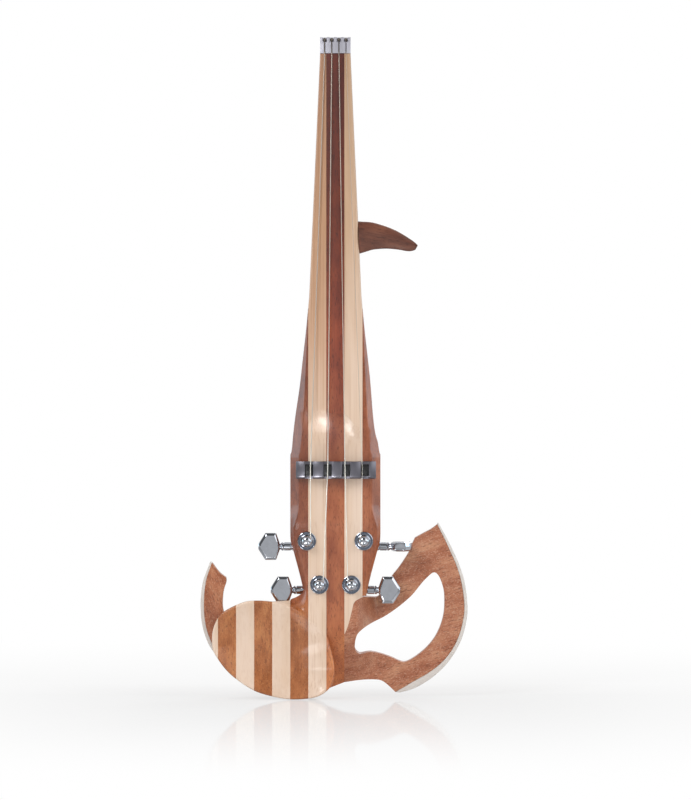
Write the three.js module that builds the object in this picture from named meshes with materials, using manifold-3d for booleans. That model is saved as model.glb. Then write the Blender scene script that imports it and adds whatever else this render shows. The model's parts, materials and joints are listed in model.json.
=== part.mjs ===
// Electric violin with a laminated through neck, in millimetres.
// It stands as it is looked at: +Z along the neck towards the nut, +X to the treble side,
// and its front, with the strings, faces -Y. Depths are counted forwards from the flat back.
import * as THREE from 'three';
import { mergeVertices } from 'three/addons/utils/BufferGeometryUtils.js';
import Module from 'manifold-3d';

const wasm = await Module();
wasm.setup();

// Driving dimensions
const scaleLength = 328;
const laminationWidth = 14.25;
const nutWidth = 24;
const neckRootWidth = 41.2;
const bodyWidth = 71.2;
const waistWidth = 48.8;
const clearance = 0.3;
const overrun = 2;
const roundSides = 16;
const boreSides = 12;
const wormSides = 10;

// Depths from the back plane
const wingThickness = 15;
const deckDepth = 43;
const plateauRise = 1;
const boardRiseAtNut = 8;
const boardRiseAtEnd = 9.5;
const plateauDepth = deckDepth + plateauRise;
const boardDepthAtNut = plateauDepth + boardRiseAtNut;
const boardDepthAtEnd = plateauDepth + boardRiseAtEnd;
const neckThickness = 20;
const neckSideHeight = 10.5;
const deckThickness = 10;
const boardRadius = 42;

// Heights, stacked up from the waist between chin dish and tuner deck
const waistHeight = 81.8;
const waistGap = 8.8;
const postRowGap = 34.5;
const taperGap = 4.7;
const deckCreaseGap = 3.3;
const bayGap = 8;
const bridgeGap = 40;
const flareFootGap = 12;
const scoopFootGap = 14;
const boardEndGap = 44.5;
const heelRise = 135;
const neckLength = 191;
const headpieceHeight = 12.7;
const waistZ = waistHeight;
const lowerPostZ = waistZ + waistGap;
const upperPostZ = lowerPostZ + postRowGap;
const taperTopZ = upperPostZ + taperGap;
const deckCreaseZ = taperTopZ + deckCreaseGap;
const bayTopZ = deckCreaseZ + bayGap;
const bridgeZ = bayTopZ + bridgeGap;
const flareFootZ = bridgeZ + flareFootGap;
const scoopFootZ = bridgeZ + scoopFootGap;
const boardEndZ = bridgeZ + boardEndGap;
const heelTopZ = scoopFootZ + heelRise;
const nutZ = bridgeZ + scaleLength;
const neckRootZ = nutZ - neckLength;
const topZ = nutZ + headpieceHeight;

// Planes between the lamellae
const coreEdge = laminationWidth / 2;
const mapleEdge = coreEdge + laminationWidth;
const flankEdge = mapleEdge + laminationWidth;
const bodyHalf = bodyWidth / 2;
const waistHalf = waistWidth / 2;
const neckRootHalf = neckRootWidth / 2;

// Colours and finishes
const mahogany = { color: 0xa5603f, roughness: 0.3 };
const maple = { color: 0xe6c9a6, roughness: 0.3 };
const palePlastic = { color: 0xeee8e0, roughness: 0.3 };
const paleAlloy = { color: 0xc8c8d4, roughness: 0.35, metalness: 0.8 };
const steel = { color: 0x6c6c74, roughness: 0.35, metalness: 0.9 };
const chrome = { color: 0xc4c8cc, roughness: 0.12, metalness: 1 };
const blackPlastic = { color: 0x141416, roughness: 0.5 };
const greenBoard = { color: 0x1f5a3c, roughness: 0.5 };
const paleString = { color: 0xd6d2c8, roughness: 0.35, metalness: 0.8 };

const violin = new THREE.Group();
const seatHeight = 45;
violin.position.z = -seatHeight;

function addMesh(name, geometry, finish) {
  const mesh = new THREE.Mesh(geometry, new THREE.MeshStandardMaterial(finish));
  mesh.name = name;
  violin.add(mesh);
}

// Solids, cuts and joins
function solidOf(geometry) {
  const bare = geometry.clone();
  bare.deleteAttribute('normal');
  bare.deleteAttribute('uv');
  const merged = mergeVertices(bare);
  const count = merged.getAttribute('position').count;
  const triVerts = new Uint32Array(merged.index.array);
  const vertProperties = new Float32Array(merged.getAttribute('position').array.slice(0, 3 * count));
  return new wasm.Manifold(new wasm.Mesh({ numProp: 3, vertProperties, triVerts }));
}

function geometryOf(solid) {
  const mesh = solid.getMesh();
  const geometry = new THREE.BufferGeometry();
  geometry.setAttribute('position', new THREE.BufferAttribute(new Float32Array(mesh.vertProperties), 3));
  geometry.setIndex(new THREE.BufferAttribute(new Uint32Array(mesh.triVerts), 1));
  return geometry;
}

function cut(geometry, ...tools) {
  const solid = tools.reduce((left, tool) => left.subtract(solidOf(tool)), solidOf(geometry));
  return geometryOf(solid);
}

function join(geometry, ...others) {
  const solid = others.reduce((sum, other) => sum.add(solidOf(other)), solidOf(geometry));
  return geometryOf(solid);
}

function common(geometry, other) {
  return geometryOf(solidOf(geometry).intersect(solidOf(other)));
}

// A block between two corners, given as x, depth and z
function block(low, high) {
  const size = high.map((value, axis) => value - low[axis]);
  const geometry = new THREE.BoxGeometry(size[0], size[1], size[2]);
  geometry.translate(low[0] + size[0] / 2, -(low[1] + size[1] / 2), low[2] + size[2] / 2);
  return geometry;
}

// A turned piece on the depth axis, its profile given as pairs of radius and depth
function turnedAlongDepth(profile, x, z, sides = roundSides) {
  const points = profile.map(([radius, depth]) => new THREE.Vector2(radius, depth));
  const geometry = new THREE.LatheGeometry(points, sides);
  geometry.scale(1, -1, 1);
  geometry.translate(x, 0, z);
  return faceOutwards(geometry);
}

// A turned piece along X, its profile given as pairs of radius and x
function turnedAlongX(profile, depth, z, sides = roundSides) {
  const points = profile.map(([radius, x]) => new THREE.Vector2(radius, x));
  const geometry = new THREE.LatheGeometry(points, sides);
  geometry.rotateZ(-Math.PI / 2);
  geometry.translate(0, -depth, z);
  return faceOutwards(geometry);
}

// Turns a closed geometry's faces round where its volume comes out negative
function faceOutwards(geometry) {
  const bare = geometry.clone();
  bare.deleteAttribute('normal');
  bare.deleteAttribute('uv');
  const merged = mergeVertices(bare);
  const place = merged.getAttribute('position');
  const index = Array.from(merged.index.array);
  const kept = [];
  const corner = [new THREE.Vector3(), new THREE.Vector3(), new THREE.Vector3()];
  let volume = 0;
  const cornersPerFace = 3;
  for (let start = 0; start < index.length; start += cornersPerFace) {
    const [a, b, c] = index.slice(start, start + cornersPerFace);
    if (a === b || b === c || a === c) continue;
    [a, b, c].forEach((vertex, at) => corner[at].fromBufferAttribute(place, vertex));
    volume += corner[0].dot(corner[1].clone().cross(corner[2]));
    kept.push(a, b, c);
  }
  const turned = volume < 0 ? kept.reverse() : kept;
  merged.setIndex(turned);
  return merged;
}

// Plain helpers for shapes given as curves
function smoothstep(from, to, value) {
  const share = THREE.MathUtils.clamp((value - from) / (to - from), 0, 1);
  return share * share * (3 - 2 * share);
}

function readTable(rows, at) {
  if (at <= rows[0][0]) return rows[0][1];
  for (let row = 1; row < rows.length; row += 1) {
    const [before, low] = rows[row - 1];
    const [after, high] = rows[row];
    if (at <= after) return low + ((high - low) * (at - before)) / (after - before);
  }
  return rows[rows.length - 1][1];
}

function smoothLine(points, steps, closed = false) {
  const places = points.map(([x, z]) => new THREE.Vector3(x, 0, z));
  const curve = new THREE.CatmullRomCurve3(places, closed, 'centripetal');
  const spans = closed ? points.length : points.length - 1;
  const line = curve.getPoints(spans * steps).map((point) => [point.x, point.z]);
  return closed ? line.slice(0, -1) : line;
}

// An outline in the front view, given a thickness between two depths
function plate(outline, holes, backDepth, frontDepth) {
  const shape = new THREE.Shape(outline.map(([x, z]) => new THREE.Vector2(x, z)));
  shape.holes = holes.map((hole) => new THREE.Path(hole.map(([x, z]) => new THREE.Vector2(x, z))));
  const geometry = new THREE.ExtrudeGeometry(shape, { depth: frontDepth - backDepth, bevelEnabled: false });
  geometry.rotateX(Math.PI / 2);
  geometry.translate(0, -backDepth, 0);
  return faceOutwards(geometry);
}

// A carved piece: a grid in the front view with a front and a back depth at each point
function carved(columns, rows, pointAt) {
  const vertices = [];
  for (let column = 0; column < columns; column += 1) {
    for (let row = 0; row < rows; row += 1) {
      const { x, z, front, back } = pointAt(column, row);
      vertices.push(x, -front, z, x, -back, z);
    }
  }
  const frontOf = (column, row) => 2 * (column * rows + row);
  const backOf = (column, row) => frontOf(column, row) + 1;
  const faces = [];
  const quad = (a, b, c, d) => faces.push(a, b, c, a, c, d);
  for (let column = 0; column < columns - 1; column += 1) {
    for (let row = 0; row < rows - 1; row += 1) {
      const next = column + 1;
      const above = row + 1;
      quad(frontOf(column, row), frontOf(next, row), frontOf(next, above), frontOf(column, above));
      quad(backOf(column, row), backOf(column, above), backOf(next, above), backOf(next, row));
    }
  }
  const top = rows - 1;
  const last = columns - 1;
  for (let column = 0; column < last; column += 1) {
    quad(frontOf(column, 0), backOf(column, 0), backOf(column + 1, 0), frontOf(column + 1, 0));
    quad(frontOf(column, top), frontOf(column + 1, top), backOf(column + 1, top), backOf(column, top));
  }
  for (let row = 0; row < top; row += 1) {
    quad(frontOf(0, row), frontOf(0, row + 1), backOf(0, row + 1), backOf(0, row));
    quad(frontOf(last, row), backOf(last, row), backOf(last, row + 1), frontOf(last, row + 1));
  }
  const geometry = new THREE.BufferGeometry();
  geometry.setAttribute('position', new THREE.BufferAttribute(new Float32Array(vertices), 3));
  geometry.setIndex(faces);
  return faceOutwards(geometry);
}

// A round rod along points, with flat ends
function rod(points, radius, sides, upward) {
  const vertices = [];
  const faces = [];
  points.forEach((point, at) => {
    const before = points[Math.max(at - 1, 0)];
    const after = points[Math.min(at + 1, points.length - 1)];
    const along = after.clone().sub(before).normalize();
    const across = along.clone().cross(upward).normalize();
    const over = across.clone().cross(along);
    for (let side = 0; side < sides; side += 1) {
      const angle = (2 * Math.PI * side) / sides;
      const place = point.clone();
      place.addScaledVector(across, radius * Math.cos(angle));
      place.addScaledVector(over, radius * Math.sin(angle));
      vertices.push(place.x, place.y, place.z);
    }
  });
  for (let at = 0; at < points.length - 1; at += 1) {
    for (let side = 0; side < sides; side += 1) {
      const here = at * sides + side;
      const beside = at * sides + ((side + 1) % sides);
      faces.push(here, beside, beside + sides, here, beside + sides, here + sides);
    }
  }
  const end = (points.length - 1) * sides;
  for (let side = 1; side < sides - 1; side += 1) {
    faces.push(0, side + 1, side, end, end + side, end + side + 1);
  }
  const geometry = new THREE.BufferGeometry();
  geometry.setAttribute('position', new THREE.BufferAttribute(new Float32Array(vertices), 3));
  geometry.setIndex(faces);
  return faceOutwards(geometry);
}

// Half width of neck, body and tuner deck at a height
const flareShares = [
  [0, 1], [0.02, 0.94], [0.12, 0.85], [0.36, 0.57], [0.61, 0.335], [0.79, 0.165], [1, 0],
];
const taperShares = [[0, 0], [0.23, 0.21], [0.72, 0.76], [0.9, 0.973], [1, 1]];

function halfWidth(z) {
  if (z >= neckRootZ) {
    return neckRootHalf + (nutWidth / 2 - neckRootHalf) * ((z - neckRootZ) / neckLength);
  }
  if (z >= flareFootZ) {
    const share = readTable(flareShares, (z - flareFootZ) / (neckRootZ - flareFootZ));
    return neckRootHalf + (bodyHalf - neckRootHalf) * share;
  }
  const share = readTable(taperShares, (z - waistZ) / (taperTopZ - waistZ));
  return waistHalf + (bodyHalf - waistHalf) * share;
}

// Height in the flare at which the body has a half width
function flareHeight(half) {
  const widths = flareShares.map(([up, out]) => [out, up]).reverse();
  const share = (half - neckRootHalf) / (bodyHalf - neckRootHalf);
  return flareFootZ + readTable(widths, share) * (neckRootZ - flareFootZ);
}

// Width of the bevel along each flank's front edge
const bevelWidth = 7;
const deckBevelWidth = 2.2;
const bevelSlope = 1.1;
const bevelTopShare = 0.6;

function bevelAt(z) {
  const toDeck = smoothstep(deckCreaseZ, bayTopZ + flareFootGap, z);
  const full = deckBevelWidth + (bevelWidth - deckBevelWidth) * toDeck;
  const room = bevelTopShare * Math.max(halfWidth(z) - mapleEdge, 0);
  return Math.min(full, room);
}

// The end of the fingerboard runs aslant: lower on the treble side
const boardEndShares = [[-1, 0.07], [-0.58, 0.06], [-0.15, 0.012], [0.3, 0], [0.76, -0.2], [1, -0.26]];
const slantReach = 30;

function slantAt(x, z) {
  const slant = boardEndGap * readTable(boardEndShares, x / mapleEdge);
  const fade = 1 - smoothstep(0, slantReach, Math.abs(z - boardEndZ));
  return slant * fade;
}

// Front of neck and body
const scoopPower = 2;
const shoulderStep = 0.8;
const shoulderSlope = 0.25;

function boardDepth(x, z) {
  const share = THREE.MathUtils.clamp((z - boardEndZ) / (nutZ - boardEndZ), 0, 1);
  const crest = boardDepthAtEnd + (boardDepthAtNut - boardDepthAtEnd) * share;
  const reach = Math.min(Math.abs(x), mapleEdge);
  const crown = crest - boardRadius + Math.sqrt(boardRadius * boardRadius - reach * reach);
  const beyond = Math.abs(x) - mapleEdge;
  return beyond > 0 ? crown - shoulderStep - shoulderSlope * beyond : crown;
}

function frontDepth(x, z, level) {
  const flat = plateauDepth + (deckDepth - plateauDepth) * (1 - smoothstep(deckCreaseZ, bayTopZ, level));
  const run = THREE.MathUtils.clamp((level - scoopFootZ) / (boardEndZ - scoopFootZ), 0, 1);
  const front = flat + (boardDepth(x, z) - flat) * run ** scoopPower;
  const beyondBevel = Math.abs(x) - (halfWidth(z) - bevelAt(z));
  return beyondBevel > 0 && Math.abs(x) > mapleEdge ? front - bevelSlope * beyondBevel : front;
}

// Back of neck, heel and body, rounded towards its sides
const bodyBackRounding = 5;
const neckSquareness = 2.2;
const bodySquareness = 6;

function heelShare(z) {
  return smoothstep(scoopFootZ, heelTopZ, z);
}

function backDepth(x, z) {
  const heel = heelShare(z);
  const neckFront = boardDepth(0, z);
  const middle = (neckFront - neckThickness) * heel;
  const sideFront = boardDepth(Math.min(halfWidth(z), mapleEdge), z);
  const side = bodyBackRounding + (sideFront - neckSideHeight - bodyBackRounding) * heel;
  const squareness = bodySquareness + (neckSquareness - bodySquareness) * heel;
  const reach = Math.min(Math.abs(x) / halfWidth(z), 1);
  const fall = 1 - (1 - reach ** squareness) ** (1 / squareness);
  return middle + (side - middle) * fall;
}

// The bay behind the tuner deck
const bayWall = 3;

function deckBack(x, z) {
  const top = 1 - THREE.MathUtils.clamp((z - (bayTopZ - bayWall)) / bayWall, 0, 1);
  const foot = THREE.MathUtils.clamp((z - (waistZ - bayWall)) / bayWall, 0, 1);
  const bay = Math.min(top, foot);
  const plain = z < waistZ ? 0 : backDepth(x, z);
  return plain + (deckDepth - deckThickness - plain) * bay;
}

// Outline of the chin dish, as shares of its half sizes about its centre
const dishWidth = 96.4;
const dishHeight = 78;
const dishCentreX = -49.1;
const dishCentreZ = dishHeight / 2;
const dishOutlineShares = [
  [-0.73, 0.834], [-0.831, 0.749], [-0.919, 0.614], [-0.98, 0.43], [-1, 0.2], [-0.985, 0],
  [-0.914, -0.163], [-0.769, -0.403], [-0.614, -0.578], [-0.318, -0.818], [-0.018, -0.937],
  [0.274, -0.996], [0.573, -0.982], [0.735, -0.939], [0.867, -0.841], [0.965, -0.687],
  [1.004, -0.437], [0.984, -0.195], [0.947, 0.007], [0.867, 0.317], [0.735, 0.499],
  [0.576, 0.662], [0.416, 0.797], [0.274, 0.886], [0.083, 0.959], [-0.114, 0.991],
  [-0.308, 0.999], [-0.468, 0.975],
];
const outlineSteps = 6;
const dishOutline = smoothLine(
  dishOutlineShares.map(([across, up]) => [
    dishCentreX + (across * dishWidth) / 2,
    dishCentreZ + (up * dishHeight) / 2,
  ]),
  outlineSteps,
  true,
);

// Lowest and highest z of a closed outline at one x
function spanAt(outline, x) {
  const hits = [];
  outline.forEach(([fromX, fromZ], at) => {
    const [toX, toZ] = outline[(at + 1) % outline.length];
    if ((fromX <= x) !== (toX <= x)) {
      hits.push(fromZ + ((toZ - fromZ) * (x - fromX)) / (toX - fromX));
    }
  });
  return [Math.min(...hits), Math.max(...hits)];
}

// Right edge of the dish at one height
function dishRight(z) {
  const hits = dishOutline.flatMap(([fromX, fromZ], at) => {
    const [toX, toZ] = dishOutline[(at + 1) % dishOutline.length];
    return (fromZ <= z) !== (toZ <= z) ? [fromX + ((toX - fromX) * (z - fromZ)) / (toZ - fromZ)] : [];
  });
  return Math.max(...hits);
}

function distanceToRim(x, z) {
  let nearest = Infinity;
  dishOutline.forEach(([fromX, fromZ], at) => {
    const [toX, toZ] = dishOutline[(at + 1) % dishOutline.length];
    const alongX = toX - fromX;
    const alongZ = toZ - fromZ;
    const share = ((x - fromX) * alongX + (z - fromZ) * alongZ) / (alongX ** 2 + alongZ ** 2);
    const held = THREE.MathUtils.clamp(share, 0, 1);
    nearest = Math.min(nearest, Math.hypot(x - fromX - held * alongX, z - fromZ - held * alongZ));
  });
  return nearest;
}

// Front and underside of the dish
const rimRise = 1;
const rimDepth = deckDepth + rimRise;
const rimThickness = 8;
const rimLip = 1.2;
const dishSag = 7;
const dishBottomReach = 36;
const undersideReach = 16;

function dishFront(x, z) {
  const inward = Math.max(distanceToRim(x, z) - rimLip, 0);
  const share = Math.min(inward / dishBottomReach, 1);
  return rimDepth - dishSag * (1 - (1 - share) ** 2);
}

function dishBack(x, z) {
  const seat = wingThickness + clearance;
  const bulge = smoothstep(0, undersideReach, distanceToRim(x, z));
  return rimDepth - rimThickness - (rimDepth - rimThickness - seat) * bulge;
}

// The root of the treble wing falls away from the deck's level to the wing's
const rootRidgeX = 16;
const rootFootX = 34;
const rootFootZ = 8;
const rootTopZ = 58;

function rootLevel(x, z) {
  const across = smoothstep(0, rootFootX - rootRidgeX, rootFootX - x);
  const up = smoothstep(rootFootZ, rootTopZ, z);
  return wingThickness + (deckDepth - wingThickness) * across * up;
}

// Heights where the core's surface is cut, from the waist up to the nut
const neckStationShares = [0.04, 0.1, 0.18, 0.42, 0.54, 0.7, 0.86, 1];
const flankTipWidth = 0.5;
const flankTipZ = flareHeight(mapleEdge + flankTipWidth);
const scoopStationShares = [0, 0.2, 0.4, 0.6, 0.8, 1];
const bodyStations = [
  waistZ, lowerPostZ, upperPostZ - postRowGap / 2, upperPostZ, taperTopZ,
  deckCreaseZ, bayTopZ - bayWall, bayTopZ, bridgeZ, flareFootZ,
];
const scoopStations = scoopStationShares.map((share) => scoopFootZ + share * (boardEndZ - scoopFootZ));
const neckStations = neckStationShares.map((share) => boardEndZ + share * (nutZ - boardEndZ));
const coreStations = [...bodyStations, ...scoopStations, ...neckStations, flankTipZ, neckRootZ];
coreStations.sort((low, high) => low - high);

// Stations of the dish below the core, as shares of its height at each x
const dishStationShares = [0, 0.015, 0.06, 0.14, 0.26, 0.4, 0.56, 0.72, 0.86, 0.94, 0.985, 1];

// Core centre lamella, with the part of the dish that lies on it
const centreColumnShares = [-1, -0.5, 0, 0.5, 1];
const centreFootZ = 6.4;
const centreFootRise = 5.6;
const centreFootShares = [0, 0.12, 0.28, 0.46, 0.66, 0.86];

function centreLamella() {
  const footOf = (x) => centreFootZ + (centreFootRise * (x + coreEdge)) / laminationWidth;
  const heights = (x) => [
    ...centreFootShares.map((share) => footOf(x) + share * (waistZ - footOf(x))),
    ...coreStations,
  ];
  const rows = centreFootShares.length + coreStations.length;
  const slab = carved(centreColumnShares.length, rows, (column, row) => {
    const x = coreEdge * centreColumnShares[column];
    const level = heights(x)[row];
    const z = level + slantAt(x, level);
    const front = level < waistZ ? rootLevel(x, z) : frontDepth(x, z, level);
    return { x, z, front, back: backDepth(x, Math.max(z, waistZ)) };
  });
  return join(slab, dishOnCentre());
}

const dishColumnShares = [0, 0.5, 1];
const dishRowShares = [0, 0.12, 0.3, 0.5, 0.7, 0.86, 1];

function dishOnCentre() {
  const [lowZ, highZ] = spanAt(dishOutline, -coreEdge);
  return carved(dishColumnShares.length, dishRowShares.length, (column, row) => {
    const share = dishRowShares[row];
    const z = lowZ + clearance + share * (highZ - lowZ - 2 * clearance);
    const right = Math.max(dishRight(z), -coreEdge + clearance);
    const x = -coreEdge + dishColumnShares[column] * (right + coreEdge);
    return { x, z, front: dishFront(x, z), back: 0 };
  });
}

// Maple lamellae of the core
const mapleColumnShares = [0, 0.34, 0.67, 1];

function mapleColumnX(share, z) {
  return coreEdge + share * (Math.min(mapleEdge, halfWidth(z)) - coreEdge);
}

function bassMaple() {
  const stations = [waistZ - bayWall, ...coreStations];
  const rows = dishStationShares.length + stations.length;
  return carved(mapleColumnShares.length, rows, (column, row) => {
    const share = mapleColumnShares[mapleColumnShares.length - 1 - column];
    if (row < dishStationShares.length) {
      const x = -mapleColumnX(share, waistZ);
      const [lowZ, highZ] = spanAt(dishOutline, x);
      const z = lowZ + dishStationShares[row] * (highZ - lowZ);
      return { x, z, front: dishFront(x, z), back: 0 };
    }
    const level = stations[row - dishStationShares.length];
    const x = -mapleColumnX(share, Math.max(level, waistZ));
    const z = level + slantAt(x, level);
    return { x, z, front: frontDepth(x, z, level), back: deckBack(x, z) };
  });
}

// The treble maple ends in a curve where the wing starts
const mapleEndShares = [[0, 0], [0.18, 0.2], [0.4, 0.6], [0.54, 0.86], [1, 1]];
const mapleEndDrop = 29.5;
const mapleEndRise = 1;
const mapleEndStationShares = [0, 0.35, 0.7];

function mapleEndZ(x) {
  const share = readTable(mapleEndShares, (x - coreEdge) / laminationWidth);
  return waistZ - mapleEndRise - mapleEndDrop * (1 - share);
}

function trebleMaple() {
  const rows = mapleEndStationShares.length + coreStations.length;
  const shares = mapleEndShares.map(([across]) => across);
  return carved(shares.length, rows, (column, row) => {
    if (row < mapleEndStationShares.length) {
      const x = mapleColumnX(shares[column], waistZ);
      const endZ = mapleEndZ(x) + clearance;
      const z = endZ + mapleEndStationShares[row] * (waistZ - endZ);
      return { x, z, front: deckDepth, back: deckBack(x, z) };
    }
    const level = coreStations[row - mapleEndStationShares.length];
    const x = mapleColumnX(shares[column], level);
    const z = level + slantAt(x, level);
    return { x, z, front: frontDepth(x, z, level), back: deckBack(x, z) };
  });
}

// Flanks of the body
const flankColumnShares = [0, 0.5, 1];
const flankBevelShares = [0.4, 0.75, 1];
const filletShares = [
  [0, 0], [0.355, 0], [0.63, 0.458], [0.753, 0.69], [0.837, 0.835], [0.94, 0.97], [1, 1],
];
const filletTopGap = 4.2;
const filletTopZ = waistZ + filletTopGap;
const filletFall = 6;

function flankStations() {
  return coreStations.filter((z) => z <= flankTipZ);
}

function flankX(column, z) {
  const inner = halfWidth(z) - bevelAt(z);
  if (column < flankColumnShares.length) {
    return mapleEdge + flankColumnShares[column] * (inner - mapleEdge);
  }
  return inner + flankBevelShares[column - flankColumnShares.length] * bevelAt(z);
}

function flankPoint(x, level) {
  const z = level + slantAt(x, level);
  return { x, z, front: frontDepth(x, z, level), back: deckBack(x, z) };
}

function trebleFlank() {
  const stations = flankStations();
  const columns = flankColumnShares.length + flankBevelShares.length;
  return carved(columns, stations.length, (column, row) => {
    const level = stations[row];
    return flankPoint(flankX(column, level), level);
  });
}

// Underside of the shoulder that fills the corner between dish and deck
function shoulderBack(up) {
  const under = rimDepth - rimThickness;
  return under + (deckDepth - deckThickness - under) * up;
}

function bassFlank() {
  const stations = flankStations().filter((z) => z > filletTopZ);
  const columns = flankColumnShares.length + flankBevelShares.length;
  const filletRows = filletShares.length - 1;
  const levelShare = filletShares[1][0];
  const rows = dishStationShares.length + filletRows + stations.length;
  return carved(columns, rows, (column, row) => {
    const outward = columns - 1 - column;
    const waistX = flankX(outward, waistZ);
    const spread = (waistX - mapleEdge) / (waistHalf - mapleEdge);
    if (row < dishStationShares.length) {
      const x = -(mapleEdge + spread * laminationWidth);
      const [lowZ, highZ] = spanAt(dishOutline, x);
      const z = lowZ + dishStationShares[row] * (highZ - lowZ);
      return { x, z, front: dishFront(x, z), back: dishBack(x, z) };
    }
    if (row < dishStationShares.length + filletRows) {
      const [up, inward] = filletShares[row - dishStationShares.length + 1];
      const edge = flankEdge + (halfWidth(filletTopZ) - flankEdge) * inward;
      const x = -(mapleEdge + spread * (edge - mapleEdge));
      const highZ = spanAt(dishOutline, x)[1];
      const z = highZ + up * (filletTopZ - highZ);
      const fall = filletFall * smoothstep(waistHalf, flankEdge, -x) * Math.min(up / levelShare, 1);
      const front = rimDepth + (frontDepth(x, filletTopZ, filletTopZ) - rimDepth) * up - fall;
      return { x, z, front, back: shoulderBack(up) };
    }
    const level = stations[row - dishStationShares.length - filletRows];
    return flankPoint(-flankX(outward, level), level);
  });
}

// Lamellae of the chin dish beyond the bass flank; the innermost one ends in the shoulder's tail
const dishColumns = 4;
const dishTipShare = 0.985;

function dishLamella(outer, inner, hasShoulder) {
  const levelShare = filletShares[1][0];
  const tailZ = spanAt(dishOutline, outer)[1];
  const innerHighZ = spanAt(dishOutline, inner)[1];
  const shoulderZ = innerHighZ + levelShare * (filletTopZ - innerHighZ);
  const rows = dishStationShares.length + (hasShoulder ? 1 : 0);
  return carved(dishColumns, rows, (column, row) => {
    const across = column / (dishColumns - 1);
    const x = outer + (inner - outer) * across;
    if (row === dishStationShares.length) {
      const z = tailZ + (shoulderZ - tailZ) * across;
      return { x, z, front: rimDepth - filletFall * across, back: shoulderBack(levelShare * across) };
    }
    const [lowZ, highZ] = spanAt(dishOutline, x);
    const z = lowZ + dishStationShares[row] * (highZ - lowZ);
    return { x, z, front: dishFront(x, z), back: dishBack(x, z) };
  });
}

// Pocket for the electronics in the back, with its cover
const pocketHalfWidth = 28;
const pocketFootGap = 31;
const pocketTopGap = 10;
const pocketFootZ = bridgeZ - pocketFootGap;
const pocketTopZ = bridgeZ + pocketTopGap;
const pocketDepth = 24;
const coverSideMargin = 3;
const coverEndMargin = 5.5;
const coverThickness = 2.2;

function pocket() {
  return block(
    [-pocketHalfWidth, -overrun, pocketFootZ],
    [pocketHalfWidth, pocketDepth, pocketTopZ],
  );
}

function coverSeat() {
  return block(
    [-pocketHalfWidth - coverSideMargin, -overrun, pocketFootZ - coverEndMargin],
    [pocketHalfWidth + coverSideMargin, coverThickness + clearance, pocketTopZ + coverEndMargin],
  );
}

// Cover screws, one above and one below the pocket
const coverScrewRadius = 1.3;
const coverScrewHeadRadius = 2.3;
const coverScrewHeadHeight = 1.2;
const coverScrewLength = 10;

function coverScrewZ(end) {
  const inset = coverEndMargin / 2;
  return end > 0 ? pocketTopZ + inset : pocketFootZ - inset;
}

function coverScrewHole(end, radius) {
  const deep = coverScrewLength + clearance;
  return turnedAlongDepth(
    [[0, -overrun], [radius, -overrun], [radius, deep], [0, deep]], 0, coverScrewZ(end), boreSides,
  );
}

function coverScrew(end) {
  const neck = coverScrewHeadHeight;
  return turnedAlongDepth(
    [
      [0, 0], [coverScrewHeadRadius, 0], [coverScrewRadius, neck],
      [coverScrewRadius, coverScrewLength], [0, coverScrewLength],
    ],
    0, coverScrewZ(end), boreSides,
  );
}

function coverScrewSeat(end) {
  const radius = coverScrewHeadRadius + clearance;
  const neck = coverScrewHeadHeight + clearance;
  return turnedAlongDepth(
    [
      [0, -overrun], [radius, -overrun], [radius, 0], [coverScrewRadius + clearance, neck],
      [coverScrewRadius + clearance, coverScrewLength], [0, coverScrewLength],
    ],
    0, coverScrewZ(end), boreSides,
  );
}

// Tuners: where each one stands, and which way its shaft leaves
const upperPostX = 22.4;
const lowerPostX = 12.6;
const wormOffset = 4.8;
const shaftDrop = 16;
const shaftDepth = deckDepth - shaftDrop;
const tuners = [
  { name: 'bass_upper', side: -1, x: -upperPostX, z: upperPostZ, turn: 0 },
  { name: 'treble_upper', side: 1, x: upperPostX, z: upperPostZ, turn: Math.PI / 2 },
  { name: 'bass_lower', side: -1, x: -lowerPostX, z: lowerPostZ, turn: 0 },
  { name: 'treble_lower', side: 1, x: lowerPostX, z: lowerPostZ, turn: 0 },
];
const bushingRadius = 4.7;

function bushingHole(tuner) {
  const radius = bushingRadius + clearance;
  const low = deckDepth - deckThickness - overrun;
  const high = deckDepth + overrun;
  return turnedAlongDepth([[0, low], [radius, low], [radius, high], [0, high]], tuner.x, tuner.z);
}

// Bridge and the two screws that hold it from the pocket
const bridgeHalfLength = 31.5;
const bridgeOffset = 0.5;
const bridgeScrewX = 24.5;
const bridgeScrewRadius = 1.5;
const bridgeScrewHeadRadius = 2.8;
const bridgeScrewHeadHeight = 2;
const bridgeScrewBite = 2.4;

function bridgeScrewHole(side, radius) {
  const high = plateauDepth + bridgeScrewBite + clearance;
  const low = pocketDepth - overrun;
  return turnedAlongDepth(
    [[0, low], [radius, low], [radius, high], [0, high]], side * bridgeScrewX, bridgeZ, boreSides,
  );
}

// Output jack, flush in the bass flank
const jackRise = 3.5;
const jackZ = bridgeZ + jackRise;
const jackDepth = 14.5;
const jackFlangeRadius = 7.5;
const jackFlangeThickness = 1.6;
const jackBarrelRadius = 5.2;
const jackBoreRadius = 3.25;
const jackLength = 23;
const jackBoreLength = 20;

function jackHole() {
  const outer = -bodyHalf;
  const seat = outer + jackFlangeThickness + clearance;
  const flange = jackFlangeRadius + clearance;
  const barrel = jackBarrelRadius + clearance;
  const end = outer + jackLength + overrun;
  return turnedAlongX(
    [
      [0, outer - overrun], [flange, outer - overrun], [flange, seat],
      [barrel, seat], [barrel, end], [0, end],
    ],
    jackDepth, jackZ,
  );
}

// Hand stop on the treble side of the neck and its dowel
const handStopDrop = 132;
const handStopTopZ = nutZ - handStopDrop;
const handStopHeight = 25.5;
const handStopReach = 46;
const handStopInset = 7;
const handStopDepth = boardDepthAtNut - handStopInset;
const handStopHalfThickness = 5;
const handStopTipThicknessShare = 0.55;
const dowelRadius = 2.5;
const dowelLength = 18;
const dowelZ = handStopTopZ - handStopHeight / 2;

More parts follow.
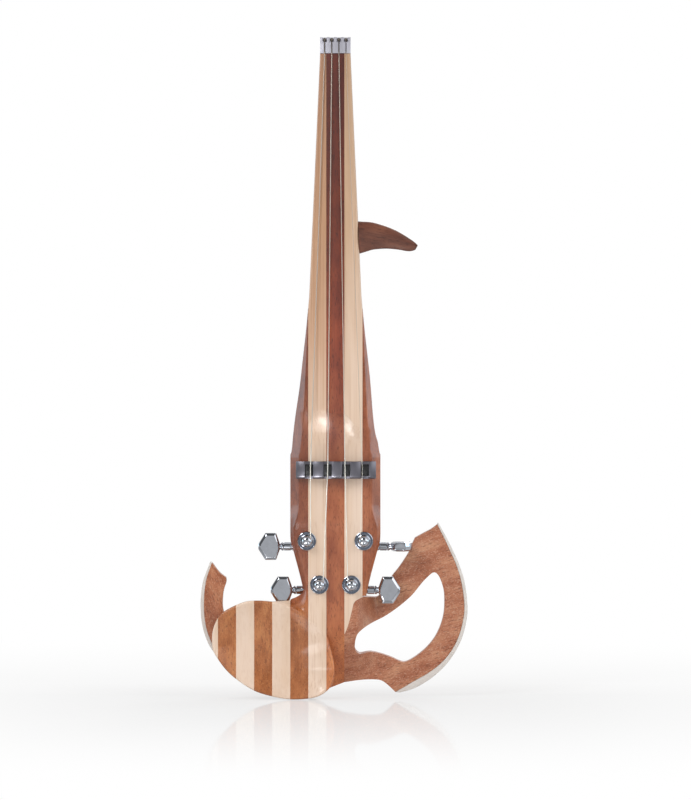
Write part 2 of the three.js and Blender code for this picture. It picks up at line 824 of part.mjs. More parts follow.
function dowelPiece(margin) {
  const middle = halfWidth(dowelZ);
  const radius = dowelRadius + margin;
  const low = middle - dowelLength / 2 - margin;
  const high = middle + dowelLength / 2 + margin;
  const profile = [[0, low], [radius, low], [radius, high], [0, high]];
  return turnedAlongX(profile, handStopDepth, dowelZ, boreSides);
}

// Core and dish
const bassUpper = bushingHole(tuners[0]);
const trebleUpper = bushingHole(tuners[1]);
const bassLower = bushingHole(tuners[2]);
const trebleLower = bushingHole(tuners[3]);
const screwHoleRadius = bridgeScrewRadius + clearance;
const bassScrew = bridgeScrewHole(-1, screwHoleRadius);
const trebleScrew = bridgeScrewHole(1, screwHoleRadius);

const coverScrewHoles = [-1, 1].map((end) => coverScrewHole(end, coverScrewRadius + clearance));

const backCuts = [pocket(), coverSeat()];
const bassMapleCuts = [...backCuts, bassUpper, bassLower, jackHole()];
const trebleMapleCuts = [...backCuts, trebleUpper, trebleLower, dowelPiece(clearance)];

addMesh('core_centre_mahogany', cut(centreLamella(), ...backCuts, ...coverScrewHoles), mahogany);
addMesh('core_maple_bass', cut(bassMaple(), ...bassMapleCuts), maple);
addMesh('core_maple_treble', cut(trebleMaple(), ...trebleMapleCuts), maple);
addMesh('flank_bass', cut(bassFlank(), ...backCuts, bassUpper, bassScrew, jackHole()), mahogany);
addMesh('flank_treble', cut(trebleFlank(), ...backCuts, trebleUpper, trebleScrew), mahogany);

const dishPieces = [
  ['dish_maple_inner', maple],
  ['dish_mahogany_inner', mahogany],
  ['dish_maple_middle', maple],
  ['dish_mahogany_outer', mahogany],
  ['dish_maple_outer', maple],
];
dishPieces.forEach(([name, finish], at) => {
  const inner = -(flankEdge + at * laminationWidth);
  const edge = dishCentreX - (dishTipShare * dishWidth) / 2;
  const outer = Math.max(inner - laminationWidth, edge);
  addMesh(name, dishLamella(outer, inner, at === 0), finish);
});

// Treble wing: its outline and hole as shares of its reach and rise from the core's edge
const wingReach = 96;
const wingRise = 138;
const wingCurveSteps = 3;
const wingInnerShares = [
  [0.157, 0.585], [0.21, 0.58], [0.276, 0.58], [0.325, 0.621], [0.399, 0.701],
  [0.459, 0.754], [0.536, 0.838], [0.558, 0.876], [0.586, 0.918],
];
const wingTipShares = [[0.586, 0.918], [0.667, 0.949], [0.718, 0.968], [0.769, 0.994]];
const wingOuterShares = [
  [0.769, 0.994], [0.857, 0.869], [0.949, 0.714], [0.991, 0.548], [0.985, 0.456],
  [0.928, 0.321], [0.828, 0.217], [0.704, 0.145], [0.568, 0.09], [0.422, 0.03],
];
const wingFootShares = [
  [0.422, 0.03], [0.36, 0.071], [0.305, 0.097], [0.24, 0.103], [0.13, 0.1], [0, 0.087],
];
const wingHoleShares = [
  [0.741, 0.719], [0.667, 0.678], [0.546, 0.579], [0.349, 0.473], [0.163, 0.407],
  [0.108, 0.373], [0.087, 0.319], [0.091, 0.276], [0.124, 0.256], [0.218, 0.263],
  [0.371, 0.235], [0.476, 0.204], [0.518, 0.205], [0.64, 0.259], [0.733, 0.327],
  [0.788, 0.396], [0.821, 0.472], [0.83, 0.548], [0.821, 0.627], [0.772, 0.708],
];

function placeWing(shares) {
  return shares.map(([across, up]) => [coreEdge + across * wingReach, up * wingRise]);
}

function withoutLast(line) {
  return line.slice(0, -1);
}

function trebleWing() {
  const mapleEnd = mapleEndShares.map(([across]) => {
    const x = coreEdge + across * laminationWidth;
    return [x, mapleEndZ(x)];
  });
  const outline = [
    ...mapleEnd,
    ...withoutLast(smoothLine(placeWing(wingInnerShares), wingCurveSteps)),
    ...withoutLast(smoothLine(placeWing(wingTipShares), wingCurveSteps)),
    ...withoutLast(smoothLine(placeWing(wingOuterShares), wingCurveSteps)),
    ...smoothLine(placeWing(wingFootShares), wingCurveSteps),
  ];
  const hole = smoothLine(placeWing(wingHoleShares), wingCurveSteps, true);
  const tall = plate(outline, [hole], 0, deckDepth + overrun);
  return common(tall, wingSlab());
}

const rootColumnShares = [0, 0.25, 0.5, 0.75, 1];
const rootRowShares = [0, 0.16, 0.32, 0.5, 0.68, 0.84, 1];

function wingSlab() {
  const low = [coreEdge, -overrun, -overrun];
  const flat = block(low, [coreEdge + wingReach + overrun, wingThickness, wingRise + overrun]);
  const root = carved(rootColumnShares.length + 1, rootRowShares.length + 1, (column, row) => {
    const across = column === 0 ? 0 : rootColumnShares[column - 1];
    const x = column === 0 ? coreEdge : rootRidgeX + across * (rootFootX - rootRidgeX);
    const up = rootRowShares[Math.min(row, rootRowShares.length - 1)];
    const z = row === rootRowShares.length ? waistZ + overrun : rootFootZ + up * (rootTopZ - rootFootZ);
    return { x, z, front: rootLevel(x, z), back: overrun };
  });
  return join(flat, root);
}

addMesh('wing_treble', trebleWing(), mahogany);

// Bass arm: the horn beside the dish and the arm behind it
const armReach = 84;
const armRise = 108;
const armTipShares = [[0.914, 0.989], [0.844, 0.919], [0.782, 0.881]];
const armInnerShares = [
  [0.782, 0.881], [0.779, 0.852], [0.801, 0.796], [0.811, 0.75], [0.807, 0.634],
  [0.7, 0.48], [0.5, 0.43], [0.25, 0.5], [0, 0.58],
];
const armOuterShares = [
  [0, 0.05], [0.2, 0.035], [0.42, 0.065], [0.62, 0.14], [0.78, 0.24],
  [0.903, 0.381], [0.969, 0.517], [0.99, 0.684], [0.969, 0.859], [0.914, 0.989],
];

function placeArm(shares) {
  return shares.map(([across, up]) => [-(mapleEdge + across * armReach), up * armRise]);
}

function bassArm() {
  const outline = [
    ...withoutLast(smoothLine(placeArm(armTipShares), wingCurveSteps)),
    ...smoothLine(placeArm(armInnerShares), wingCurveSteps),
    ...withoutLast(smoothLine(placeArm(armOuterShares), wingCurveSteps)),
  ];
  return plate(outline, [], 0, wingThickness);
}

addMesh('arm_bass', bassArm(), mahogany);

// Pale bands bent round the outer edges of wing and arm
const bandSteps = 3;
const trebleBandShares = [
  [0.777, 1.006], [0.883, 0.869], [0.981, 0.705], [1.018, 0.552], [1.015, 0.456],
  [0.964, 0.323], [0.862, 0.204], [0.731, 0.115], [0.579, 0.051], [0.46, 0.027],
];
const bassBandShares = [
  [0.857, 0.291], [0.938, 0.378], [0.998, 0.502], [1.022, 0.648], [1.004, 0.837], [0.932, 0.997],
];
const bassBandFirstPoint = 4;

function offsetLine(line, distance) {
  return line.map(([x, z], at) => {
    const [beforeX, beforeZ] = line[Math.max(at - 1, 0)];
    const [afterX, afterZ] = line[Math.min(at + 1, line.length - 1)];
    const run = Math.hypot(afterX - beforeX, afterZ - beforeZ);
    return [x + (distance * (afterZ - beforeZ)) / run, z - (distance * (afterX - beforeX)) / run];
  });
}

function edgeBand(innerLine, outerLine, side) {
  const inner = offsetLine(innerLine, side * clearance);
  return plate([...inner, ...outerLine.slice().reverse()], [], 0, wingThickness);
}

const trebleInnerLine = smoothLine(placeWing(wingOuterShares), wingCurveSteps);
const trebleOuterLine = smoothLine(placeWing(trebleBandShares), bandSteps);
addMesh('edge_band_treble', edgeBand(trebleInnerLine, trebleOuterLine, -1), palePlastic);

const armOuterLine = smoothLine(placeArm(armOuterShares), wingCurveSteps);
const bassInnerLine = armOuterLine.slice(bassBandFirstPoint * wingCurveSteps);
const bassOuterLine = smoothLine(placeArm(bassBandShares), bandSteps);
addMesh('edge_band_bass', edgeBand(bassInnerLine, bassOuterLine, -1), palePlastic);

// Hand stop
const handStopUpperShares = [
  [0, 1], [0.2, 0.98], [0.42, 0.88], [0.64, 0.72], [0.87, 0.47], [0.96, 0.35], [1, 0.28],
];
const handStopLowerShares = [
  [0, 0], [0.13, 0.07], [0.25, 0.13], [0.46, 0.155], [0.65, 0.13], [0.85, 0.075], [0.95, 0.11], [1, 0.24],
];
const handStopColumnShares = [0, 0.12, 0.25, 0.4, 0.55, 0.7, 0.85, 0.95, 1];
const handStopRowShares = [0, 0.08, 0.25, 0.5, 0.75, 0.92, 1];
const handStopEdgeShare = 0.35;

function handStop() {
  const footZ = handStopTopZ - handStopHeight;
  return carved(handStopColumnShares.length, handStopRowShares.length, (column, row) => {
    const along = handStopColumnShares[column];
    const upper = readTable(handStopUpperShares, along);
    const lower = readTable(handStopLowerShares, along);
    const z = footZ + handStopHeight * (lower + (upper - lower) * handStopRowShares[row]);
    const rootX = halfWidth(z) + clearance;
    const x = rootX + along * handStopReach;
    const middle = 2 * handStopRowShares[row] - 1;
    const roundness = handStopEdgeShare + (1 - handStopEdgeShare) * Math.sqrt(1 - middle ** 2);
    const half = handStopHalfThickness * (1 - (1 - handStopTipThicknessShare) * along) * roundness;
    return { x, z, front: handStopDepth + half, back: handStopDepth - half };
  });
}

addMesh('hand_stop', cut(handStop(), dowelPiece(clearance)), mahogany);
addMesh('hand_stop_dowel', dowelPiece(0), maple);

// Headpiece that anchors the strings at the top of the neck
const headpieceProud = 0.7;
const headpieceThickness = 18;
const stringPitchAtNut = 5.6;
const grooveWidth = 1.5;
const grooveDepth = 1.2;
const ballPocketWidth = 3.6;
const ballPocketDepth = 3.6;
const ballPocketHeight = 4;
const headColumnShares = [-1, -0.6, -0.2, 0.2, 0.6, 1];
const stringCount = 4;

function stringShare(string) {
  return string - (stringCount - 1) / 2;
}

function headFront(x) {
  return boardDepth(x, nutZ) + headpieceProud;
}

function headpiece() {
  const plainBack = boardDepthAtNut - headpieceThickness;
  const body = carved(headColumnShares.length, 2, (column, row) => {
    const x = (headColumnShares[column] * nutWidth) / 2;
    const z = row === 0 ? nutZ + clearance : topZ;
    return { x, z, front: headFront(x), back: Math.max(backDepth(x, nutZ), plainBack) };
  });
  const grooves = [];
  for (let string = 0; string < stringCount; string += 1) {
    const x = stringShare(string) * stringPitchAtNut;
    const floor = headFront(x) - grooveDepth;
    grooves.push(block(
      [x - grooveWidth / 2, floor, nutZ - overrun],
      [x + grooveWidth / 2, boardDepthAtNut + overrun, topZ + overrun],
    ));
    grooves.push(block(
      [x - ballPocketWidth / 2, headFront(x) - ballPocketDepth, topZ - ballPocketHeight],
      [x + ballPocketWidth / 2, boardDepthAtNut + overrun, topZ + overrun],
    ));
  }
  return cut(body, ...grooves);
}

addMesh('headpiece', headpiece(), paleAlloy);

// Bridge: a bar with five blocks and a slot for each string between them
const bridgeBarRise = 3;
const bridgeCrestRise = 13.2;
const bridgeBarDepth = plateauDepth + bridgeBarRise;
const bridgeCrest = plateauDepth + bridgeCrestRise;
const bridgeArchRadius = 95;
const bridgeThickness = 13.8;
const slotPitch = 14.65;
const slotWidth = 6.2;
const slotOffset = 1.2;
const stringInset = 1.05;
const stringShift = 0.4;
const stringPitchAtBridge = slotPitch - stringInset;
const stringOffset = slotOffset - stringShift;
const blockArcSteps = 2;

function archDepth(x) {
  const reach = x - slotOffset;
  return bridgeCrest - bridgeArchRadius + Math.sqrt(bridgeArchRadius ** 2 - reach ** 2);
}

function bridgeBlocks() {
  const low = bridgeOffset - bridgeHalfLength;
  const high = bridgeOffset + bridgeHalfLength;
  const edges = [low];
  for (let slot = 0; slot < stringCount; slot += 1) {
    const middle = slotOffset + stringShare(slot) * slotPitch;
    edges.push(middle - slotWidth / 2, middle + slotWidth / 2);
  }
  edges.push(high);
  return edges;
}

function bridge() {
  const edges = bridgeBlocks();
  const seat = plateauDepth + clearance;
  const outline = [[edges[0], seat]];
  for (let edge = 0; edge < edges.length; edge += 2) {
    const from = edges[edge];
    const to = edges[edge + 1];
    if (edge > 0) outline.push([from, bridgeBarDepth]);
    for (let step = 0; step <= blockArcSteps; step += 1) {
      const x = from + ((to - from) * step) / blockArcSteps;
      outline.push([x, archDepth(x)]);
    }
    if (edge < edges.length - 2) outline.push([to, bridgeBarDepth]);
  }
  outline.push([edges[edges.length - 1], seat]);
  const shape = new THREE.Shape(outline.map(([x, depth]) => new THREE.Vector2(x, -depth)));
  const geometry = new THREE.ExtrudeGeometry(shape, { depth: bridgeThickness, bevelEnabled: false });
  geometry.translate(0, 0, bridgeZ - bridgeThickness / 2);
  const bores = [-1, 1].map((side) => bridgeScrewHole(side, screwHoleRadius));
  return cut(faceOutwards(geometry), ...bores);
}

addMesh('bridge', bridge(), steel);

// Saddles with their pickups, one in each slot
const saddleThickness = 9;
const saddleCrownDrop = 1.6;
const saddleRowShares = [-1, -0.6, -0.25, 0, 0.25, 0.6, 1];
const innerStringRise = 14;
const outerStringRise = 10.6;
const strings = [
  { name: 'g', diameter: 0.85 },
  { name: 'd', diameter: 0.8 },
  { name: 'a', diameter: 0.7 },
  { name: 'e', diameter: 0.4 },
];

function isOuter(string) {
  return string === 0 || string === stringCount - 1;
}

function stringDepthAtBridge(string) {
  return plateauDepth + (isOuter(string) ? outerStringRise : innerStringRise);
}

function saddle(string) {
  const middle = slotOffset + stringShare(string) * slotPitch;
  const half = slotWidth / 2 - clearance;
  const crest = stringDepthAtBridge(string) - strings[string].diameter / 2 - clearance;
  return carved(2, saddleRowShares.length, (column, row) => {
    const share = saddleRowShares[row];
    return {
      x: column === 0 ? middle - half : middle + half,
      z: bridgeZ + (share * saddleThickness) / 2,
      front: crest - saddleCrownDrop * share ** 2,
      back: bridgeBarDepth + clearance,
    };
  });
}

strings.forEach(({ name }, string) => addMesh(`saddle_${name}`, saddle(string), blackPlastic));

function screwAlongDepth(side) {
  const headLow = pocketDepth - bridgeScrewHeadHeight - clearance;
  const headHigh = pocketDepth - clearance;
  const tip = plateauDepth + bridgeScrewBite;
  return turnedAlongDepth(
    [
      [0, headLow], [bridgeScrewHeadRadius, headLow], [bridgeScrewHeadRadius, headHigh],
      [bridgeScrewRadius, headHigh], [bridgeScrewRadius, tip], [0, tip],
    ],
    side * bridgeScrewX, bridgeZ, boreSides,
  );
}

addMesh('bridge_screw_bass', screwAlongDepth(-1), steel);
addMesh('bridge_screw_treble', screwAlongDepth(1), steel);

// Tuner pieces, made about the post's foot and set in place by each tuner
const gearTeeth = 15;
const stepsPerTooth = 3;
const crestSteps = 2;
const gearRadius = 3.1;
const gearRootRadius = 2.5;
const gearThickness = 5;
const postRadius = 3;
const postWaistRadius = 2.4;
const postHeadRadius = 4;
const postPivotRadius = 1.6;
const postWaistRise = 3.7;
const postWaistHeight = 4.5;
const postHeadHeight = 4;
const postWaistLow = deckDepth + postWaistRise;
const postWaistHigh = postWaistLow + postWaistHeight;
const postTop = postWaistHigh + postHeadHeight;
const domeShares = [[1, 0], [0.97, 0.28], [0.82, 0.62], [0.5, 0.9], [0, 1]];
const domeHeight = 2.6;
const domeFoot = postTop - domeHeight;
const housingReach = 8;
const housingBack = shaftDepth - housingReach;
const housingWall = 1.3;
const pivotFloor = housingBack + housingWall;

function gear() {
  const outline = [];
  const steps = gearTeeth * stepsPerTooth;
  for (let step = 0; step < steps; step += 1) {
    const angle = (2 * Math.PI * step) / steps;
    const radius = step % stepsPerTooth < crestSteps ? gearRadius : gearRootRadius;
    outline.push([radius * Math.cos(angle), radius * Math.sin(angle)]);
  }
  return plate(outline, [], shaftDepth - gearThickness / 2, shaftDepth + gearThickness / 2);
}

function post() {
  const gearLow = shaftDepth - gearThickness / 2;
  const gearHigh = shaftDepth + gearThickness / 2;
  const gearCoreRadius = gearRootRadius - clearance;
  const dome = domeShares.map(([out, up]) => [out * postHeadRadius, domeFoot + up * (postTop - domeFoot)]);
  const shaft = turnedAlongDepth(
    [
      [0, pivotFloor + clearance], [postPivotRadius, pivotFloor + clearance],
      [postPivotRadius, gearLow], [gearCoreRadius, gearLow],
      [gearCoreRadius, gearHigh], [postRadius, gearHigh],
      [postRadius, postWaistLow], [postWaistRadius, postWaistLow],
      [postWaistRadius, postWaistHigh], [postHeadRadius, postWaistHigh + clearance],
      ...dome,
    ],
    0, 0, boreSides,
  );
  return join(gear(), shaft);
}

const washerRadius = 7.4;
const washerThickness = 1.2;
const bushingCollarRadius = 5.6;
const bushingRise = 3.4;
const bushingTop = deckDepth + bushingRise;
const deckUnderside = deckDepth - deckThickness;
const postBore = postRadius + clearance;

function bushing() {
  const foot = deckUnderside + clearance;
  const seat = deckDepth + clearance;
  const washerTop = seat + washerThickness;
  return turnedAlongDepth(
    [
      [postBore, foot], [bushingRadius, foot], [bushingRadius, seat],
      [washerRadius, seat], [washerRadius, washerTop],
      [bushingCollarRadius, washerTop], [bushingCollarRadius, bushingTop],
      [postBore, bushingTop], [postBore, foot],
    ],
    0, 0,
  );
}

const housingInner = 5.2;
const housingOuter = 9;
const housingTop = 5.6;
const housingFootMargin = 3.4;
const housingFoot = wormOffset + housingFootMargin;
const noseRadius = 2.7;
const noseEnd = 18.4;
const wormRadius = 1.4;
const shaftRadius = 1.4;
const shaftBore = shaftRadius + clearance;
const gearChamberRadius = gearRadius + 2 * clearance;
const wormHalfLength = 3.9;

function housing() {
  const body = block(
    [-housingInner, housingBack, -housingFoot],
    [housingOuter, deckUnderside - clearance, housingTop],
  );
  const nose = turnedAlongX(
    [[0, 0], [noseRadius, 0], [noseRadius, noseEnd], [0, noseEnd]], shaftDepth, -wormOffset, boreSides,
  );
  const chamberFloor = shaftDepth - gearThickness / 2 - clearance;
  const chamber = turnedAlongDepth(
    [
      [0, chamberFloor], [gearChamberRadius, chamberFloor],
      [gearChamberRadius, deckUnderside], [0, deckUnderside],
    ],
    0, 0,
  );
  const pivot = turnedAlongDepth(
    [
      [0, pivotFloor], [postPivotRadius + clearance, pivotFloor],
      [postPivotRadius + clearance, shaftDepth], [0, shaftDepth],
    ],
    0, 0, boreSides,
  );
  const wormEnd = wormHalfLength + clearance;
  const wormBore = wormRadius + 2 * clearance;
  const bore = turnedAlongX(
    [
      [0, -wormEnd], [wormBore, -wormEnd], [wormBore, wormEnd], [shaftBore, wormEnd],
      [shaftBore, noseEnd + overrun], [0, noseEnd + overrun],
    ],
    shaftDepth, -wormOffset, boreSides,
  );
  return cut(join(body, nose), chamber, pivot, bore);
}

const buttonStart = noseEnd + clearance;
const buttonNeckEnd = 22.1;
const buttonTip = 38.4;
const buttonHoleDepth = 6;
const wormThreads = 4;
const wormRootRadius = 1.1;

function worm() {
  const profile = [[0, -wormHalfLength], [wormRootRadius, -wormHalfLength]];
  const pitch = (2 * wormHalfLength) / wormThreads;
  for (let thread = 0; thread < wormThreads; thread += 1) {
    const start = -wormHalfLength + thread * pitch;
    profile.push([wormRadius, start + pitch / 4]);
    profile.push([wormRadius, start + pitch / 2]);
    profile.push([wormRootRadius, start + (pitch * 3) / 4]);
  }
  const tip = buttonStart + buttonHoleDepth - clearance;
  profile.push([wormRootRadius, wormHalfLength], [shaftRadius, wormHalfLength]);
  profile.push([shaftRadius, tip], [0, tip]);
  return turnedAlongX(profile, shaftDepth, -wormOffset, wormSides);
}

// Button: a bevelled eight-sided plate on a short neck
const buttonHeight = 21.2;
const buttonThickness = 7.6;
const buttonBevel = 2;
const buttonNeckRadius = 3.1;
const buttonNeckTipRadius = 2.4;
const buttonShares = [
  [0, 0.36], [0.2, 1], [0.7, 1], [1, 0.36], [1, -0.36], [0.7, -1], [0.2, -1], [0, -0.36],
];

function button(turn) {
  const length = buttonTip - buttonNeckEnd - 2 * buttonBevel;
  const half = buttonHeight / 2 - buttonBevel;
  const outline = buttonShares.map(([along, up]) => (
    new THREE.Vector2(buttonNeckEnd + buttonBevel + along * length, up * half)
  ));
  const face = new THREE.ExtrudeGeometry(new THREE.Shape(outline), {
    depth: buttonThickness - 2 * buttonBevel,
    bevelThickness: buttonBevel,
    bevelSize: buttonBevel,
    bevelSegments: 1,
  });
  face.translate(0, 0, -buttonThickness / 2 + buttonBevel);
  face.rotateX(Math.PI / 2 + turn);
  face.translate(0, -shaftDepth, -wormOffset);
  const collarEnd = buttonStart + buttonBevel / 2;
  const neckEnd = buttonNeckEnd + buttonBevel + clearance;
  const neck = turnedAlongX(
    [
      [0, buttonStart], [buttonNeckRadius, buttonStart], [buttonNeckRadius, collarEnd],
      [buttonNeckTipRadius, neckEnd], [0, neckEnd],
    ],
    shaftDepth, -wormOffset, boreSides,
  );
  const holeEnd = buttonStart + buttonHoleDepth;
  const hole = turnedAlongX(
    [[0, buttonStart - overrun], [shaftBore, buttonStart - overrun], [shaftBore, holeEnd], [0, holeEnd]],
    shaftDepth, -wormOffset, boreSides,
  );
  return cut(join(faceOutwards(face), neck), hole);
}

function placeOnTuner(geometry, tuner) {
  const placed = geometry.clone();
  if (tuner.side < 0) placed.scale(-1, 1, 1);
  placed.translate(tuner.x, 0, tuner.z);
  return faceOutwards(placed);
}

tuners.forEach((tuner) => {
  addMesh(`tuner_housing_${tuner.name}`, placeOnTuner(housing(), tuner), chrome);
  addMesh(`tuner_bushing_${tuner.name}`, placeOnTuner(bushing(), tuner), chrome);
  addMesh(`tuner_post_${tuner.name}`, placeOnTuner(post(), tuner), chrome);
  addMesh(`tuner_worm_${tuner.name}`, placeOnTuner(worm(), tuner), steel);
  addMesh(`tuner_button_${tuner.name}`, placeOnTuner(button(tuner.turn), tuner), chrome);
});

// Strings: from the ball in the headpiece, over the saddle, to the inner side of the post
const ballRadius = 1.4;
const ballHeightShare = 0.5;
const nutLift = 0.35;
const wrapDrop = 0.3;
const wrapTop = postWaistHigh - wrapDrop;
const wrapTurns = 1.5;
const wrapGap = 0.46;
const wrapSteps = 24;
const wrapSides = 6;
const stringSides = 8;
const saddleBendShares = [0.12, 0.04, -0.04, -0.12];
const stringToTuner = [0, 2, 3, 1];

function spot(x, depth, z) {
  return new THREE.Vector3(x, -depth, z);
}

function wrapRadius(string) {
  return postWaistRadius + clearance + strings[string].diameter / 2;
}

function stringEnd(string) {
  const tuner = tuners[stringToTuner[string]];
  const { diameter } = strings[string];
  const x = tuner.x - tuner.side * wrapRadius(string);
  return spot(x, wrapTop - diameter / 2, tuner.z);
}

function stringPiece(string) {
  const { diameter } = strings[string];
  const nutX = stringShare(string) * stringPitchAtNut;
  const grooveFloor = headFront(nutX) - grooveDepth + clearance + diameter / 2;
  const bridgeX = stringOffset + stringShare(string) * stringPitchAtBridge;
  const saddlePlace = spot(bridgeX, stringDepthAtBridge(string), bridgeZ);
  const ballPlace = spot(nutX, grooveFloor, topZ - ballPocketHeight * ballHeightShare);
  const nutPlace = spot(nutX, headFront(nutX) + nutLift, nutZ);
  const end = stringEnd(string);
  const bend = saddleBendShares.map((share) => {
    const away = share > 0 ? nutPlace : end;
    const reach = (Math.abs(share) * saddleThickness) / saddlePlace.distanceTo(away);
    return saddlePlace.clone().lerp(away, reach);
  });
  const straight = end.clone().add(spot(0, 0, 2 * diameter));
  const line = [ballPlace, nutPlace, ...bend, straight, end];
  const body = rod(line, diameter / 2, stringSides, new THREE.Vector3(1, 0, 0));
  const ball = new THREE.SphereGeometry(ballRadius, stringSides, stringSides / 2);
  ball.translate(ballPlace.x, ballPlace.y, ballPlace.z);
  return join(body, faceOutwards(ball));
}

function wrapLine(string) {
  const tuner = tuners[stringToTuner[string]];
  const { diameter } = strings[string];
  const radius = wrapRadius(string);
  const top = wrapTop - diameter - clearance - diameter / 2;
  const pitch = diameter + wrapGap;
  const line = [];
  for (let step = 0; step <= wrapTurns * wrapSteps; step += 1) {
    const angle = (2 * Math.PI * step) / wrapSteps;
    const depth = top - (pitch * step) / wrapSteps;
    line.push(spot(
      tuner.x - tuner.side * radius * Math.cos(angle), depth, tuner.z - radius * Math.sin(angle),
    ));
  }
  return line;
}

// Least gap between the turns of a winding, measured on its points
function leastGap(line, diameter) {
  let least = Infinity;
  line.forEach((point, at) => {
    line.slice(at + wrapSteps / 2).forEach((other) => {
      least = Math.min(least, point.distanceTo(other) - diameter);
    });
  });
  return least;
}

strings.forEach(({ name, diameter }, string) => {
  addMesh(`string_${name}`, stringPiece(string), paleString);
  const line = wrapLine(string);
  console.log(`winding ${name}: least gap ${leastGap(line, diameter).toFixed(2)} mm`);
  const winding = rod(line, diameter / 2, wrapSides, new THREE.Vector3(0, 1, 0));
  addMesh(`string_winding_${name}`, winding, paleString);
});

// Electronics in the pocket
const batteryWidth = 48.5;
const batteryHeight = 26.5;
const batteryDepth = 17.5;
const batteryMargin = 1;
const boardHalfWidth = 20.5;
const boardHeight = 11.5;
const boardThickness = 1.6;
const chipSize = 6;
const chipHeight = 1.5;
const leadRadius = 1;
const leadSides = 8;
const leadBend = 4;

function electronicsCover() {
  const across = pocketHalfWidth + coverSideMargin - clearance;
  const plain = block(
    [-across, 0, pocketFootZ - coverEndMargin + clearance],
    [across, coverThickness, pocketTopZ + coverEndMargin - clearance],
  );
  return cut(plain, coverScrewSeat(-1), coverScrewSeat(1));
}

function battery() {
  const low = [-batteryWidth / 2, coverThickness + 2 * clearance, pocketFootZ + batteryMargin];
  return block(low, [batteryWidth / 2, low[1] + batteryDepth, low[2] + batteryHeight]);
}

function boardBack() {
  return pocketDepth - clearance - boardThickness;
}

function preampBoard() {
  const top = pocketTopZ - batteryMargin;
  const middle = top - boardHeight / 2;
  const board = block(
    [-boardHalfWidth, boardBack(), top - boardHeight],
    [boardHalfWidth, pocketDepth - clearance, top],
  );
  const chipLow = boardHalfWidth / 2;
  const chip = block(
    [chipLow, boardBack() - chipHeight, middle - chipSize / 2],
    [chipLow + chipSize, boardBack() + boardThickness / 2, middle + chipSize / 2],
  );
  return join(board, chip);
}

function outputJack() {
  const outer = -bodyHalf;
  const seat = outer + jackFlangeThickness;
  const profile = [
    [jackBoreRadius, outer], [jackFlangeRadius, outer], [jackFlangeRadius, seat], [jackBarrelRadius, seat],
    [jackBarrelRadius, outer + jackLength], [0, outer + jackLength], [0, outer + jackBoreLength],
    [jackBoreRadius, outer + jackBoreLength], [jackBoreRadius, outer],
  ];
  return turnedAlongX(profile, jackDepth, jackZ);
}

function jackLead() {
  const start = jackLength - bodyHalf + clearance;
  const turn = start + leadBend;
  const line = [
    spot(start, jackDepth, jackZ),
    spot(start + leadRadius, jackDepth, jackZ),
    spot(turn, jackDepth + leadRadius, jackZ),
    spot(turn + leadRadius, boardBack() - leadBend / 2, jackZ),
    spot(turn + leadRadius, boardBack() - clearance, jackZ),
  ];
  return rod(line, leadRadius, leadSides, new THREE.Vector3(0, 0, 1));
}

addMesh('electronics_cover', electronicsCover(), blackPlastic);
addMesh('cover_screw_lower', coverScrew(-1), steel);
addMesh('cover_screw_upper', coverScrew(1), steel);
addMesh('battery', battery(), steel);
addMesh('preamp_board', preampBoard(), greenBoard);
addMesh('output_jack', outputJack(), steel);
addMesh('jack_lead', jackLead(), blackPlastic);

export default violin;
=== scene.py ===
import sys
import json
import math
from contextlib import contextmanager

import bpy
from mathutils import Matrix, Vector

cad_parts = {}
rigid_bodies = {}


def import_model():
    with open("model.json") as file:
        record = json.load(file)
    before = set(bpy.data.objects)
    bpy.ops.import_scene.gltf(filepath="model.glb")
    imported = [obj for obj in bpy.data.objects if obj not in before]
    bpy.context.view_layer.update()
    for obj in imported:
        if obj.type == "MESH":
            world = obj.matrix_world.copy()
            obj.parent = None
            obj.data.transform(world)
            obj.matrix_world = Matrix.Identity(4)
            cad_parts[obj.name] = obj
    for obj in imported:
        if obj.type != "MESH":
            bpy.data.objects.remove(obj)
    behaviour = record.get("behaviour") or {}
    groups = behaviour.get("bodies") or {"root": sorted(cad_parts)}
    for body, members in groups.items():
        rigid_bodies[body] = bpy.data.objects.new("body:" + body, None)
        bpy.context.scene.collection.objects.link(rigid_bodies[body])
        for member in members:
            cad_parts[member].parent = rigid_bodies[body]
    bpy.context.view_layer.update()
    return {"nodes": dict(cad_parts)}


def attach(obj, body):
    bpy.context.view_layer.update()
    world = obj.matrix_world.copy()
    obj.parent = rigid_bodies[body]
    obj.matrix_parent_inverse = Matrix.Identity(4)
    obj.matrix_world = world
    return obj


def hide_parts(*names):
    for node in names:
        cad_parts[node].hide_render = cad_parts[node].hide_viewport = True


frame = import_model()

# Sizes in millimetres. Heights count up from the bottom of the chin dish, depths forwards from the back
MM = 0.001
seat_height = 45.0
lamination_width = 14.25
core_edge = lamination_width / 2
maple_edge = core_edge + lamination_width
flank_edge = maple_edge + lamination_width
nut_half = 12.0
neck_root_half = 20.6
body_half = 35.6
waist_half = 24.4
clearance = 0.3
overrun = 2.0
hair = 0.05
wing_thickness = 15.0
deck_depth = 43.0
deck_thickness = 10.0
deck_under = deck_depth - deck_thickness
plateau_depth = 44.0
board_depth_at_nut = 52.0
board_depth_at_end = 53.5
board_radius = 42.0
neck_thickness = 20.0
neck_side_height = 10.5
waist_z = 81.8
lower_post_z = 90.6
upper_post_z = 125.1
taper_top_z = 129.8
deck_crease_z = 133.1
bay_top_z = 141.1
bridge_z = 181.1
flare_foot_z = 193.1
scoop_foot_z = 195.1
board_end_z = 225.6
board_end_gap = 44.5
neck_root_z = 318.1
heel_top_z = 330.1
nut_z = 509.1
top_z = 521.8
fine_step = 2.5
curve_steps = 7
merge_distance = 0.002
turned_steps = 48


def spot(x, depth, z):
    return Vector((x, -depth, z - seat_height)) * MM


